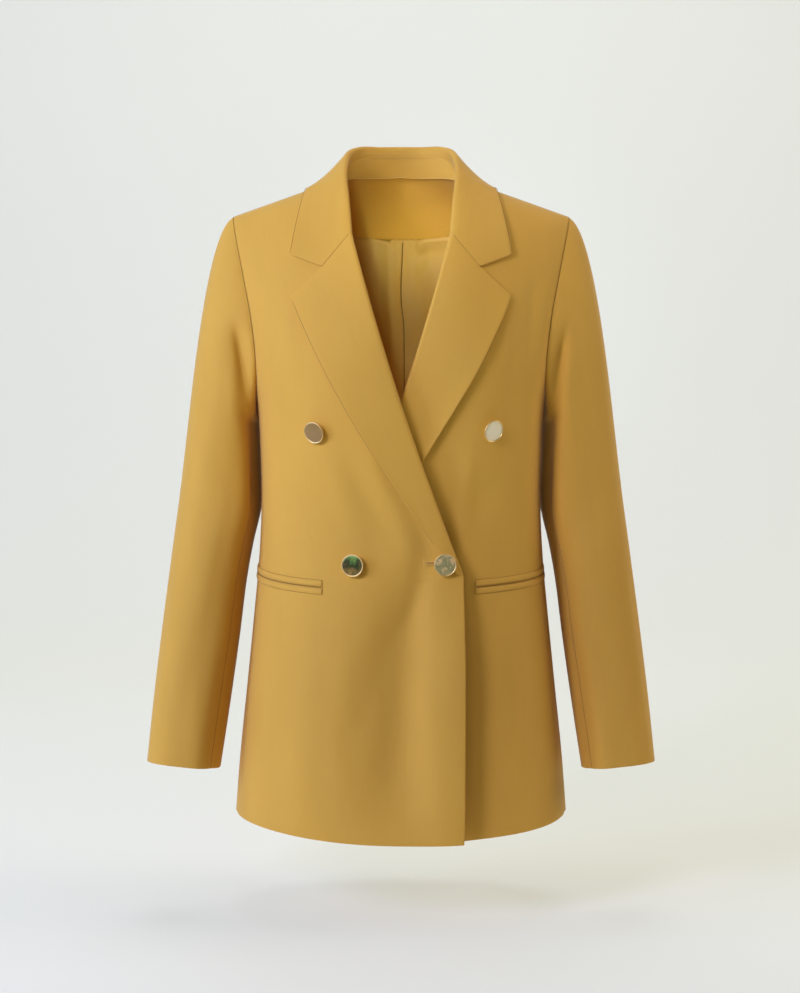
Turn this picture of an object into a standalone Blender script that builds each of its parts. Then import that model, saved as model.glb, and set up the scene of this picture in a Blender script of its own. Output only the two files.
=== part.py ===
"""Double-breasted blazer in its worn shape with no wearer, built from its cut pieces.

Metres, +Z up. The front faces -Y and the wearer's right is -X. The origin is midway between the two
side neck points, level with the tops of the shoulders, where a wearer carries the jacket.
A cloth piece is a grid of points on its outer face, and Solidify gives it its wall.
A "canonical" piece is the wearer's left one; its x is measured from the centre to its own side.
"""

import math

import bmesh
import bpy
import numpy as np
from mathutils import Vector

# ---------------------------------------------------------------- cloth
WALL = 0.0015  # jacket cloth with its fusing
LEAF_WALL = 0.0013  # lapels, collar and stand
THIN_WALL = 0.0010  # lining, neck facing and pocket lips
SEAM_GAP = 0.0005  # between the edges of two pieces sewn together

# ---------------------------------------------------------------- body
RIDGE_Y = 0.010  # the shoulder seams lie in this upright plane
NECK_HALF = 0.067  # side neck point from the centre
SHOULDER_FALL = 0.355  # fall of the shoulder seam for each metre outwards
NECK_ROUND = 0.012  # rounds the ridge where it crosses the neck
FRONT_POWER = 2.4  # how square the front and the back of a level section are
BACK_POWER = 2.6
FRONT_ROUND = 0.200  # height over which the front and the back turn in to the shoulder seam
BACK_ROUND = 0.095
ROUND_POWER = 1.5

BODY_ROWS = (  # height, half width, depth of the front, depth of the back
    (-0.740, 0.1895, 0.138, 0.118),
    (-0.640, 0.1815, 0.137, 0.120),
    (-0.560, 0.1730, 0.134, 0.117),
    (-0.480, 0.1648, 0.129, 0.108),
    (-0.420, 0.1592, 0.124, 0.098),
    (-0.360, 0.1563, 0.121, 0.092),
    (-0.300, 0.1572, 0.124, 0.095),
    (-0.245, 0.1607, 0.129, 0.103),
    (-0.200, 0.1700, 0.130, 0.108),
    (-0.150, 0.1822, 0.128, 0.110),
    (-0.100, 0.1938, 0.124, 0.109),
    (-0.045, 0.2065, 0.118, 0.106),
    (0.040, 0.2150, 0.112, 0.100),
)

# ---------------------------------------------------------------- seams of the body
SIDE_HEM_Z = -0.707
FRONT_HEM_DIP = 0.011  # the hem dips towards the front edge
BACK_HEM_DIP = 0.004
FRONT_SEAM = math.radians(80)  # angles from the centre front
BACK_SEAM = math.radians(113)
UNDERARM_Z = -0.245
ARMHOLE_TURN = math.radians(25.7)  # from the side to the upright stretch of the armhole
ARMHOLE_CURVE = 0.115  # height of the armhole's curved lower part
ARMHOLE_SPLIT = 0.45  # share of each half armhole that the curved part takes
BACK_NECK_Z = 0.0058
BACK_NECK_POWER = 4.0  # how soon the neckline climbs to the side neck point

# ---------------------------------------------------------------- fronts
FRONT_EDGE_X = -0.0668  # past the centre by this much
BREAK_Z = -0.428  # where the lapel starts to turn
GORGE_X = 0.0520  # top of the roll line
GORGE_Z = -0.0665
ROLL_BOW = 0.0063  # the roll line bows outwards by this much
RECESS = 0.0140  # how far the under front lies behind the upper one
RECESS_START = 0.010
RECESS_LENGTH = 0.095
UNDERLAP_LIFT = 0.0005  # the under front is this much shorter at its edge
UNDER_HEM_BELLY = 0.0022  # and its hem sags by this much halfway to the side seam
EDGE_EASE = 0.0145  # height below the break over which the edge moves out to the roll
TO_SIDE_START, TO_SIDE_LENGTH = math.radians(58), math.radians(20)  # the folds die away over this
CHEST_Z = -0.205
HEM_ROWS, CHEST_ROWS, GORGE_ROWS, NECK_ROWS = 7, 5, 4, 4
FRONT_COLUMNS = 14
BACK_COLUMNS = 12
SIDE_COLUMNS = 5
NECK_COLUMNS = 5  # of the back's columns, those that end on the neckline
ARMHOLE_POWER = 1.6  # how soon the armhole's upper part nears the shoulder seam
NECK_POWER = 1.6  # the same for the front's neck edge and for the facing's rows
BACK_RISE_POWER = 1.7  # spacing of the back's upper rows
BACK_GAP_RADIUS = 0.12  # turns a seam gap into an angle at the centre back

# ---------------------------------------------------------------- lapels
LAPEL_ROLL = 0.0038  # radius of the roll, to the visible face
BREAK_ROLL = 0.0029
ROLL_RISE = 0.060  # height over which the roll grows to its full radius
FOOT_DEPTH = 0.0042  # visible face of the facing behind the front's edge
LAPEL_FOOT = 0.018  # width of facing behind the roll
LEAF_LIFT = 0.0028  # visible face of a leaf's edge above the cloth below
BREAK_WIDTH = 0.0045  # leaf at the break
NOTCH_X, NOTCH_Z = 0.0836, -0.1005
LAPEL_TIP_X, LAPEL_TIP_Z = 0.1158, -0.1310
LAPEL_BELLY = 0.0125
LAPEL_LENGTH = 0.33  # along the roll
RIGHT_FLARE, LEFT_FLARE = 0.0030, 0.0046  # the free edge stands off the front by this much more
LAPEL_STEPS, LEAF_STEPS, ROLL_STEPS = 14, 7, 4

# ---------------------------------------------------------------- collar
COLLAR_TIP_X, COLLAR_TIP_Z = 0.1166, -0.0885
COLLAR_FOOT = 0.0095
STAND_END = 0.58  # share of the half collar that the stand reaches
COLLAR_STEPS = 12
STAND_STEPS = 8
COLLAR_FLARE = 0.0034  # the same for the fall's edge in front of the shoulder
ROLL_ROWS = (  # share of the half collar, then x, y, z of the middle line of its roll
    (0.000, 0.0000, 0.0585, 0.0348),
    (0.167, 0.0235, 0.0565, 0.0345),
    (0.333, 0.0452, 0.0420, 0.0336),
    (0.500, 0.0588, 0.0160, 0.0256),
    (0.667, 0.0628, -0.0150, 0.0030),
    (0.833, 0.0590, -0.0450, -0.0290),
    (1.000, 0.0548, -0.0720, -0.0665),
)
# Share of the half collar, then x of the fall's edge and the root of its drop below the shoulder ridge,
# which is below nought behind the ridge.
EDGE_ROWS = (
    (0.00, 0.0000, -0.205),
    (0.20, 0.0400, -0.175),
    (0.35, 0.0720, -0.127),
    (0.50, 0.0940, -0.056),
    (0.60, 0.1005, 0.015),
    (0.75, 0.1072, 0.125),
    (0.90, 0.1122, 0.212),
    (1.00, 0.1166, 0.2665),
)

# ---------------------------------------------------------------- sleeves
SLEEVE_ROWS = (  # height, outer x, inner x, y of the middle, half the depth
    (-0.6660, 0.2852, 0.2050, -0.0240, 0.0460),
    (-0.5800, 0.2769, 0.1923, -0.0085, 0.0510),
    (-0.5050, 0.2683, 0.1820, 0.0040, 0.0550),
    (-0.4400, 0.2600, 0.1738, 0.0120, 0.0580),
    (-0.4030, 0.2552, 0.1672, 0.0170, 0.0600),
    (-0.3580, 0.2495, 0.1580, 0.0255, 0.0622),
    (-0.3150, 0.2442, 0.1576, 0.0275, 0.0645),
    (-0.2700, 0.2385, 0.1597, 0.0260, 0.0660),
)
BICEPS_Z = -0.270
CUFF_Z = -0.6518
CUFF_TILT = 0.105  # the rings rise outwards by this slope
CUFF_PITCH = 0.12  # and the lower ones rise forwards by this
SLEEVE_POWER = 2.5
FOREARM_SEAM = math.radians(37)  # round the sleeve, from its inner side by way of the front
ELBOW_SEAM = math.radians(298)
FOREARM_DRIFT = 0.30  # the forearm seam turns inwards by this up to the armhole
CAP_ROWS, ARM_ROWS = 8, 12
TOP_COLUMNS, UNDER_COLUMNS = 18, 6
SLEEVE_GAP_RADIUS = 0.05  # turns a seam gap into an angle round the sleeve
HEAD_OUTWARD, HEAD_DOWNWARD = (0.94, 0.0, -0.34), (0.15, 0.0, -0.99)  # ways the cloth leaves the armhole
HEAD_FULLNESS = 0.080
ARMHOLE_GAP = 0.0012

# ---------------------------------------------------------------- soft folds
FRONT_FOLDS = (  # x and z of the start, x and z of the end, half the width, depth
    (-0.010, -0.470, 0.030, -0.690, 0.024, 0.0030),
    (0.020, -0.400, 0.095, -0.330, 0.018, 0.0018),
    (0.122, -0.190, 0.118, -0.310, 0.018, 0.0020),
    (0.095, -0.500, 0.110, -0.700, 0.022, -0.0022),
)
BACK_FOLDS = (
    (0.115, -0.120, 0.105, -0.260, 0.022, 0.0024),
    (0.060, -0.380, 0.085, -0.680, 0.026, 0.0028),
    (0.020, -0.340, 0.110, -0.325, 0.016, 0.0015),
)
VALLEY_START = 0.16  # share of the cap's rows over which a valley deepens from the armhole
VALLEY_TURN = 0.5  # and the angle over which it deepens from the forearm seam
SLEEVE_VALLEYS = (  # from the front of the armhole down the inside of the arm, given as the folds above
    (0.1775, -0.166, 0.1620, -0.230, 0.0075, 0.0100),
)
SLEEVE_FOLDS = (  # angle, share of the rows at the start and the end, half the angle, depth, lean
    (1.90, 0.34, 0.52, 0.34, 0.0024, 0.5),
    (1.15, 0.66, 0.92, 0.30, 0.0022, 0.5),
    (4.30, 0.42, 0.62, 0.40, 0.0028, 0.5),
    (5.70, 0.50, 0.58, 0.50, 0.0020, 0.5),
    (0.46, 0.42, 0.62, 0.40, 0.0060, -0.8),
    (0.50, 0.56, 1.10, 0.26, 0.0034, 0.3),
)

# ---------------------------------------------------------------- pockets and buttons
POCKET_Z = -0.4425  # of its mouth, at the inner end
POCKET_RISE = 0.0068
POCKET_START_X = 0.0850
POCKET_END = math.radians(97)
LIP_HEIGHT = 0.0070
LIP_GAP = 0.0014
LIP_LIFT = 0.0022  # visible face of a lip above the front
LIP_COLUMNS, LIP_ROWS = 14, 2

BUTTON_RADIUS = 0.0123
BUTTON_RIM = 0.0014
BUTTON_HEIGHT = 0.0062  # from the cloth to the rim
BUTTON_THICK = 0.0030
SHANK_RADIUS = 0.0034
BUTTON_STEPS = 16
BUTTON_ROWS = (  # name, x, z
    ("button_upper_right", -0.0902, -0.2745),
    ("button_upper_left", 0.0966, -0.2734),
    ("button_lower_right", -0.0506, -0.4173),
    ("button_lower_left", 0.0466, -0.4165),
)

# ---------------------------------------------------------------- inside of the back
INSIDE_LIE = 0.0046  # outer face of facing and lining inside the back's outer face
FACING_Z = -0.0620
FACING_SIDE_RISE = 0.011
FACING_HALF = 0.098
FACING_COLUMNS, FACING_ROWS = 8, 4
LINING_HEM_RISE = 0.022
LINING_SIDE, LINING_FLAT = math.radians(116), math.radians(164)  # the plain stretch beside the pleat
LINING_SIDE_COLUMNS, LINING_LEVELS = 8, 10
PLEAT_REACH = 0.034  # the pleat's ease fades out this far from the centre
PLEAT_WIDTH = 0.0090
PLEAT_STEP = 0.0020  # half the depth between the pleat's first two layers

CLOTH_COLOUR = (0.62, 0.36, 0.070)
LINING_COLOUR = (0.50, 0.29, 0.060)
METAL_COLOUR = (0.74, 0.66, 0.46)


# ================================================================ small maths
def mix(a, b, t):
    return a + (b - a) * t


def smooth(t):
    t = np.clip(t, 0.0, 1.0)
    return t * t * (3 - 2 * t)


def curve(rows):
    """A smooth curve through a table: takes values of its first column, gives the others."""
    table = np.array(sorted(rows))
    keys, values = table[:, 0], table[:, 1:]
    slopes = np.gradient(values, keys, axis=0)

    def read(key):
        key = np.clip(np.asarray(key, float), keys[0], keys[-1])
        i = np.clip(np.searchsorted(keys, key, side="right") - 1, 0, len(keys) - 2)
        span = (keys[i + 1] - keys[i])[..., None]
        t = (key - keys[i])[..., None] / span
        rise = values[i] * (1 + 2 * t) + slopes[i] * span * t
        fall = values[i + 1] * (3 - 2 * t) - slopes[i + 1] * span * (1 - t)
        return rise * (1 - t) ** 2 + fall * t**2

    return read


def unit(vectors):
    return vectors / np.maximum(np.linalg.norm(vectors, axis=-1, keepdims=True), 1e-12)


def dot(a, b):
    return (a * b).sum(-1, keepdims=True)


def stacked(x, y, z):
    return np.stack(np.broadcast_arrays(x, y, z), -1)


def fold_depth(folds, x, z):
    """How far the soft folds push the cloth in at x, z."""
    total = np.zeros(np.broadcast(x, z).shape)
    for start_x, start_z, end_x, end_z, half_width, depth in folds:
        run_x, run_z = end_x - start_x, end_z - start_z
        t = ((x - start_x) * run_x + (z - start_z) * run_z) / (run_x**2 + run_z**2)
        near = np.clip(t, 0.0, 1.0)
        off = np.hypot(x - start_x - run_x * near, z - start_z - run_z * near)
        total = total + depth * smooth(1.4 - np.abs(2 * t - 1)) * np.exp(-((off / half_width) ** 2))
    return total


# ================================================================ the body's surface
body_section = curve(BODY_ROWS)
roll_core = curve(ROLL_ROWS)
collar_edge = curve(EDGE_ROWS)
sleeve_section = curve(SLEEVE_ROWS)


def half_width(z):
    return body_section(z)[..., 0]


def ridge(x):
    """Height of the shoulder ridge."""
    return -SHOULDER_FALL * (np.hypot(x, NECK_ROUND) - NECK_HALF)


def turned_in(drop, height):
    """0 at the shoulder seam, growing to 1 where the front or the back has its full depth."""
    left = 1 - np.clip(drop / height, 0.0, 1.0)
    return np.sqrt(1 - left**ROUND_POWER)


def body_raw(angle, drop):
    """Points of the body, by their angle round from the centre front and their drop below the ridge."""
    z = -np.asarray(drop, float)
    for _ in range(4):
        x = half_width(z) * np.sin(angle)
        z = ridge(x) - drop
    section = body_section(z)
    share = np.abs(np.sin(angle))
    ahead = section[..., 1] * turned_in(drop, FRONT_ROUND) * (1 - share**FRONT_POWER) ** (1 / FRONT_POWER)
    behind = section[..., 2] * turned_in(drop, BACK_ROUND) * (1 - share**BACK_POWER) ** (1 / BACK_POWER)
    return stacked(x, RIDGE_Y + np.where(np.cos(angle) >= 0, -ahead, behind), z)


def body_normal(angle, drop):
    step = 0.004
    low = np.maximum(drop - 0.0008, 0.0)
    here = body_raw(angle, drop)
    around = body_raw(angle + step, drop) - body_raw(angle - step, drop)
    down = body_raw(angle, drop + 0.0008) - body_raw(angle, low)
    normal = unit(np.cross(around, down))
    inside = np.array((0.0, RIDGE_Y, -0.30))
    return normal * np.sign(dot(normal, here - inside))


def body(angle, drop, out=0.0):
    """Points out from the body's surface."""
    return body_raw(angle, drop) + body_normal(angle, drop) * np.asarray(out)[..., None]


def angle_at(x, z):
    return np.arcsin(np.clip(x / half_width(z), -1.0, 1.0))


def armhole(turn):
    """Angle and drop on the armhole: turn is 0 at the armpit, 1 at the shoulder point up the front and
    -1 at the same point up the back."""
    share = np.abs(turn)
    side = np.where(np.asarray(turn) >= 0, 1.0, -1.0)
    bend = np.pi / 2 * np.clip(share / ARMHOLE_SPLIT, 0.0, 1.0)
    angle = np.pi / 2 - side * ARMHOLE_TURN * np.sin(bend)
    z = UNDERARM_Z + ARMHOLE_CURVE * (1 - np.cos(bend))
    drop = ridge(half_width(z) * np.sin(angle)) - z
    left = np.clip((1 - share) / (1 - ARMHOLE_SPLIT), 0.0, 1.0)
    return angle, drop * left**ARMHOLE_POWER


def armhole_turn(angle):
    """Where the armhole's curved part passes an angle."""
    bend = np.arcsin(np.clip((np.pi / 2 - angle) / ARMHOLE_TURN, -1.0, 1.0))
    return ARMHOLE_SPLIT * bend / (np.pi / 2)


def hem(angle):
    """Height of the hem: level at the sides, dipping to the front and the back."""
    dip = np.where(np.cos(angle) > 0, FRONT_HEM_DIP, BACK_HEM_DIP)
    return SIDE_HEM_Z - dip * np.abs(np.cos(angle)) ** 3


# ================================================================ the front's own lines
def roll_x(z):
    """Visible edge of a front: its overlap edge, then the roll line up to the gorge."""
    t = np.clip((z - BREAK_Z) / (GORGE_Z - BREAK_Z), 0.0, 1.0)
    return mix(FRONT_EDGE_X, GORGE_X, t) + ROLL_BOW * 4 * t * (1 - t)


def roll_radius(z):
    return mix(BREAK_ROLL, LAPEL_ROLL, smooth((z - BREAK_Z) / ROLL_RISE))


def edge_x(z):
    """Cut edge of a front, which lies inside the lapel's roll above the break."""
    return roll_x(z) + roll_radius(z) * smooth((z - BREAK_Z) / EDGE_EASE + 1)


def recess(x, z):
    """How far the under front lies in, beside and under the upper front's edge."""
    beyond = x + roll_x(z)
    return RECESS * (1 - smooth((beyond - RECESS_START) / RECESS_LENGTH))


def front_face(angle, drop, under, out=0.0):
    """Points out from a front's outer face, with its folds and with the under front's recess."""
    raw = body_raw(angle, drop)
    x, z = raw[..., 0], raw[..., 2]
    to_side = 1 - smooth((angle - TO_SIDE_START) / TO_SIDE_LENGTH)
    to_shoulder = smooth(drop / 0.10)
    push = fold_depth(FRONT_FOLDS, x, z) * to_side * to_shoulder
    if under:
        push = push + recess(x, z)
    return body(angle, drop, out - push)


def front_at(x, z, under, out=0.0):
    return front_face(angle_at(x, z), np.maximum(ridge(x) - z, 0.0), under, out)


def rows_of(*counts):
    """Row parameters from 0 to len(counts), each whole stretch cut in its count of steps."""
    steps = [np.linspace(i, i + 1, count, endpoint=False) for i, count in enumerate(counts)]
    return np.append(np.concatenate(steps), float(len(counts)))


def stretch(v, i):
    return np.clip(v - i, 0.0, 1.0)


def front_inner(v, under):
    """x and z of a front's inner edge; v is 0 at the hem, 1 at the break, 2 at the chest, 3 at the gorge
    and 4 at the side neck point."""
    foot = hem(0.0) + (UNDERLAP_LIFT if under else 0.0)
    z = mix(foot, BREAK_Z, stretch(v, 0)) + (CHEST_Z - BREAK_Z) * stretch(v, 1)
    z = z + (GORGE_Z - CHEST_Z) * stretch(v, 2)
    gorge_edge = edge_x(GORGE_Z)
    left = 1 - stretch(v, 3)
    neck_z = ridge(NECK_HALF) - (ridge(gorge_edge) - GORGE_Z) * left**2
    neck_x = mix(NECK_HALF, gorge_edge, left**NECK_POWER)
    return np.where(v > 3, neck_x, edge_x(z)), np.where(v > 3, neck_z, z)


def panel_outer(v, seam, sign, gap):
    """Angle and height of a panel's side edge: its seam up to the armhole (v from 0 to 2), then the
    armhole up to the shoulder point (v from 2 to 4)."""
    corner = armhole_turn(seam)
    seam_top = body_raw(*armhole(corner))[..., 2]
    arm_angle, arm_drop = armhole(mix(corner, sign, stretch(v / 2, 1)))
    arm_z = body_raw(arm_angle, arm_drop)[..., 2]
    z = np.where(v > 2, arm_z, mix(hem(seam), seam_top, stretch(v / 2, 0)))
    return np.where(v > 2, arm_angle, seam) + gap, z


def front_panel(under):
    v = rows_of(HEM_ROWS, CHEST_ROWS, GORGE_ROWS, NECK_ROWS)[:, None]
    u = np.linspace(0, 1, FRONT_COLUMNS + 1)[None, :]
    x_in, z_in = front_inner(v, under)
    gap = SEAM_GAP / 2 / half_width(CHEST_Z)
    angle_in = angle_at(x_in, z_in)
    angle_out, z_out = panel_outer(v, FRONT_SEAM, 1.0, -gap)
    angle = mix(angle_in, angle_out, u)
    low = 1 - stretch(v / 2, 0)
    dip = hem(angle) - mix(hem(angle_in), hem(angle_out), u)
    z = mix(z_in, z_out, u) + dip * low
    if under:
        z = z - UNDER_HEM_BELLY * np.sin(np.pi * u) * low
    drop_in = ridge(x_in) - z_in
    drop_out = ridge(half_width(z_out) * np.sin(angle_out)) - z_out
    drop = ridge(half_width(z) * np.sin(angle)) - z
    drop = mix(drop, mix(drop_in, drop_out, u), smooth(stretch(v / 2, 1)))
    points = front_face(angle, np.maximum(drop, 0.0), under)
    points[..., 1] = np.minimum(points[..., 1], RIDGE_Y - SEAM_GAP)
    return points


def side_panel():
    v = rows_of(HEM_ROWS, CHEST_ROWS)[:, None] / 2
    u = np.linspace(0, 1, SIDE_COLUMNS + 1)[None, :]
    gap = SEAM_GAP / 2 / half_width(CHEST_Z)
    angle = mix(FRONT_SEAM + gap, BACK_SEAM - gap, u)
    top = body_raw(*armhole(armhole_turn(angle)))[..., 2]
    z = mix(hem(angle), top, v)
    return body(angle, ridge(half_width(z) * np.sin(angle)) - z)


def neckline(share):
    """Angle and drop on the back neck, from the centre back to the side neck point."""
    turn = share * np.pi / 2
    angle = np.pi - angle_at(NECK_HALF * np.sin(turn), 0.0)
    return angle, (ridge(0.0) - BACK_NECK_Z) * np.maximum(np.cos(turn), 0.0) ** BACK_NECK_POWER


def back_face(angle, drop, out=0.0):
    """Points out from a back's outer face, with its folds."""
    raw = body_raw(angle, drop)
    to_side = 1 - smooth((np.radians(45) + np.abs(np.pi - angle) - np.radians(90)) / np.radians(20))
    fold = fold_depth(BACK_FOLDS, np.abs(raw[..., 0]), raw[..., 2]) * to_side * smooth(drop / 0.08)
    return body(angle, drop, out - fold)


def back_panel():
    """The columns up to `neck` end on the neckline and the others on the shoulder seam."""
    neck = NECK_COLUMNS / BACK_COLUMNS
    low_rows = rows_of(HEM_ROWS, CHEST_ROWS)[:-1] / 2
    v = np.append(low_rows, 1 + rows_of(GORGE_ROWS + NECK_ROWS))[:, None]
    u = np.linspace(0, 1, BACK_COLUMNS + 1)[None, :]
    gap = SEAM_GAP / 2 / BACK_GAP_RADIUS
    angle_out, z_out = panel_outer(2 * v, BACK_SEAM, -1.0, gap)
    low_angle = mix(np.pi - gap, BACK_SEAM + gap, u)
    chest_top = body_raw(*armhole(armhole_turn(BACK_SEAM)))[..., 2]
    low_z = mix(hem(low_angle), mix(CHEST_Z, chest_top, u), stretch(v, 0))
    low_drop = ridge(half_width(low_z) * np.sin(low_angle)) - low_z
    neck_angle, neck_drop = neckline(np.clip(u / neck, 0.0, 1.0))
    shoulder = np.clip((u - neck) / (1 - neck), 0.0, 1.0)
    side_neck = np.pi - angle_at(NECK_HALF, 0.0)
    top_angle = np.where(u > neck, mix(side_neck, np.pi / 2 + ARMHOLE_TURN, shoulder), neck_angle - gap)
    top_drop = np.where(u > neck, 0.0, neck_drop)
    rise = stretch(v, 1)
    angle = mix(low_angle, top_angle, smooth(rise))
    drop = top_drop + (low_drop - top_drop) * (1 - rise) ** BACK_RISE_POWER
    to_armhole = smooth((u - 0.5) / 0.5) * (v > 1)
    drop_out = ridge(half_width(z_out) * np.sin(angle_out)) - z_out
    angle = mix(angle, angle_out, to_armhole)
    drop = np.maximum(mix(drop, drop_out, to_armhole), 0.0)
    points = back_face(angle, drop)
    points[..., 1] = np.maximum(points[..., 1], RIDGE_Y + SEAM_GAP)
    return points


# ================================================================ leaves that turn over a roll
def rolled(core, way, out, foot_way, radius, foot, leaf):
    """Rows of a leaf's visible face: the foot behind the roll, the round of the roll, then the leaf.

    core is the roll's middle line, way the direction of the leaf, out that of its face."""
    start = np.pi - np.arctan2(-dot(foot_way, out), dot(foot_way, way))
    columns = []
    behind = radius * (np.cos(start) * out - np.sin(start) * way)
    columns.append(core + behind + foot_way * foot)
    for k in np.linspace(1, 0, ROLL_STEPS + 1):
        columns.append(core + radius * (np.cos(start * k) * out - np.sin(start * k) * way))
    return np.concatenate([np.stack(columns, -2), leaf], -2)


def lapel(under):
    v = np.linspace(0, 1 - SEAM_GAP / LAPEL_LENGTH, LAPEL_STEPS + 1)[:, None]
    u = np.linspace(0, 1, LEAF_STEPS + 1)[None, 1:]
    z = mix(BREAK_Z, GORGE_Z, v)
    x = edge_x(z)
    edge_v = mix(x[0] + BREAK_WIDTH, LAPEL_TIP_X, v) + LAPEL_BELLY * 4 * v * (1 - v)
    edge_z = mix(BREAK_Z + 0.001, LAPEL_TIP_Z, v)

    def path(u):
        top = np.array((0.0, 0.485, 1.0))
        top_x = np.interp(u, top, (edge_x(GORGE_Z), NOTCH_X, LAPEL_TIP_X))
        top_z = np.interp(u, top, (GORGE_Z, NOTCH_Z, LAPEL_TIP_Z))
        bend_x = top_x - mix(edge_x(GORGE_Z), LAPEL_TIP_X, u)
        bend_z = top_z - mix(GORGE_Z, LAPEL_TIP_Z, u)
        return mix(x, edge_v, u) + bend_x * v**4, mix(z, edge_z, u) + bend_z * v**4

    radius = roll_radius(z)
    core = front_at(x, z, under, radius - FOOT_DEPTH)[:, 0]
    out = unit(front_at(x, z, under, 0.002)[:, 0] - front_at(x, z, under)[:, 0])
    along = unit(np.gradient(core, axis=0))
    way = unit(np.cross(along, out))
    way = way * np.sign(way[:, :1])
    lift = mix(2 * radius - FOOT_DEPTH, LEAF_LIFT, smooth(u))
    flare = LEFT_FLARE if under else RIGHT_FLARE
    lift = lift + flare * u**4 * smooth((v - 0.09) / 0.15) * smooth((1 - v) / 0.15)
    leaf = front_at(*path(u), under, lift)
    return rolled(core, way, out, way, radius, LAPEL_FOOT, leaf)


def settled(points, lift):
    """Points kept at least lift above the body."""
    x, y, z = points[..., 0], points[..., 1], points[..., 2]
    angle = angle_at(x, z)
    angle = np.where(y > RIDGE_Y, np.pi - angle, angle)
    drop = np.maximum(ridge(x) - z, 0.0)
    normal = body_normal(angle, drop)
    height = dot(points - body_raw(angle, drop), normal)
    lift = np.asarray(lift)[..., None]
    higher = (height + lift + np.sqrt((height - lift) ** 2 + 0.0015**2)) / 2
    return points + normal * (higher - height)


def neck_seam(share):
    """Neck seam of half the collar, from the centre back by the side neck point to the gorge."""
    back = body(*neckline(np.clip(2 * share, 0.0, 1.0)))
    left = np.clip(2 * share - 1, 0.0, 1.0)
    gorge_edge = edge_x(GORGE_Z)
    z = ridge(NECK_HALF) - (ridge(gorge_edge) - GORGE_Z) * left**2
    front = front_at(mix(NECK_HALF, gorge_edge, left**NECK_POWER), z, False)
    return np.where(share[..., None] > 0.5, front, back)


def collar_frame(share):
    """The roll's middle line and directions over half the collar."""
    gorge_core = front_at(edge_x(GORGE_Z), GORGE_Z, False, LAPEL_ROLL - FOOT_DEPTH)
    to_gorge = smooth((share - 0.7) / 0.3)[..., None]

    def core_at(share):
        bend = smooth((share - 0.7) / 0.3)[..., None]
        return roll_core(share) + (gorge_core - roll_core(1.0)) * bend

    core = core_at(share)
    along = unit(core_at(share + 0.01) - core_at(share - 0.01))
    along[share < 0.005] = (1.0, 0.0, 0.0)
    x, root = np.moveaxis(collar_edge(share), -1, 0)
    angle = angle_at(x, ridge(x) - root**2)
    edge = body(np.where(root > 0, angle, np.pi - angle), root**2, LEAF_LIFT)
    notch = front_at(NOTCH_X, NOTCH_Z, False, LEAF_LIFT)
    aim = unit(mix(edge - core, notch - core, to_gorge))
    out = unit(np.cross(along, aim))
    way = unit(np.cross(out, along))
    seam = neck_seam(share)
    flat = smooth((share - 0.82) / 0.14)[..., None]
    reach = np.sqrt(dot(seam - core, seam - core))
    foot = mix(np.clip(reach - 2 * SEAM_GAP, 0.001, COLLAR_FOOT), COLLAR_FOOT, flat)
    foot_way = unit(mix((seam - core) / reach, way, flat))
    foot_way = unit(foot_way - along * dot(foot_way, along))
    return core, way, out, foot_way, foot, edge, seam


def half_shares(end, steps):
    return np.linspace(0, end, steps + 1)


def both_halves(half):
    """A whole piece from its half, whose first row lies on the centre."""
    mirrored = half[:0:-1] * np.array((-1.0, 1.0, 1.0))
    return np.concatenate([mirrored, half])


def collar_fall():
    share = half_shares(1.0, COLLAR_STEPS)
    core, way, out, foot_way, foot, edge, _ = collar_frame(share)
    start = core + out * LAPEL_ROLL
    u = np.linspace(0, 1, LEAF_STEPS + 1)[1:]
    gorge_line = np.array((0.0, 0.55, 1.0))
    end_x = np.interp(u, gorge_line, (edge_x(GORGE_Z), NOTCH_X, COLLAR_TIP_X))
    end_z = np.interp(u, gorge_line, (GORGE_Z, NOTCH_Z, COLLAR_TIP_Z))
    end = front_at(end_x, end_z, False, mix(2 * LAPEL_ROLL - FOOT_DEPTH, LEAF_LIFT, smooth(u)))
    u = u[None, :, None]
    bend = smooth((share - 0.45) / 0.55)[:, None, None] ** 2
    leaf = mix(start[:, None], edge[:, None], u) + bend * (end - mix(start[-1], edge[-1], u[0]))
    flare = COLLAR_FLARE * smooth((share[:, None] - 0.74) / 0.2)
    leaf = settled(leaf, LEAF_LIFT + flare * u[..., 0] ** 5)
    return both_halves(rolled(core, way, out, foot_way, LAPEL_ROLL, foot, leaf))


def collar_stand():
    share = half_shares(STAND_END, STAND_STEPS)
    core, way, out, foot_way, foot, _, seam = collar_frame(share)
    start = np.pi - np.arctan2(-dot(foot_way, out), dot(foot_way, way))
    inward = np.cos(start) * out - np.sin(start) * way
    top = core + inward * LAPEL_ROLL + foot_way * (foot + SEAM_GAP)
    bottom = seam + inward * WALL - foot_way * SEAM_GAP
    u = np.linspace(0, 1, 3)[None, :, None]
    return both_halves(mix(top[:, None], bottom[:, None], u))


# ================================================================ sleeves
def sleeve_ring(phi, z):
    """A ring round the sleeve: phi is 0 at its inner side, a quarter turn at its front."""
    outer, inner, middle_y, half_depth = np.moveaxis(sleeve_section(z), -1, 0)
    half = (outer - inner) / 2
    across = -np.sign(np.cos(phi)) * np.abs(np.cos(phi)) ** (2 / SLEEVE_POWER)
    ahead = -np.sign(np.sin(phi)) * np.abs(np.sin(phi)) ** (2 / SLEEVE_POWER)
    x = (outer + inner) / 2 + half * across
    pitch = CUFF_PITCH * smooth((BICEPS_Z - z) / (BICEPS_Z - CUFF_Z))
    level = z + CUFF_TILT * half * across - pitch * half_depth * ahead
    return stacked(x, middle_y + half_depth * ahead, level)


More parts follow.
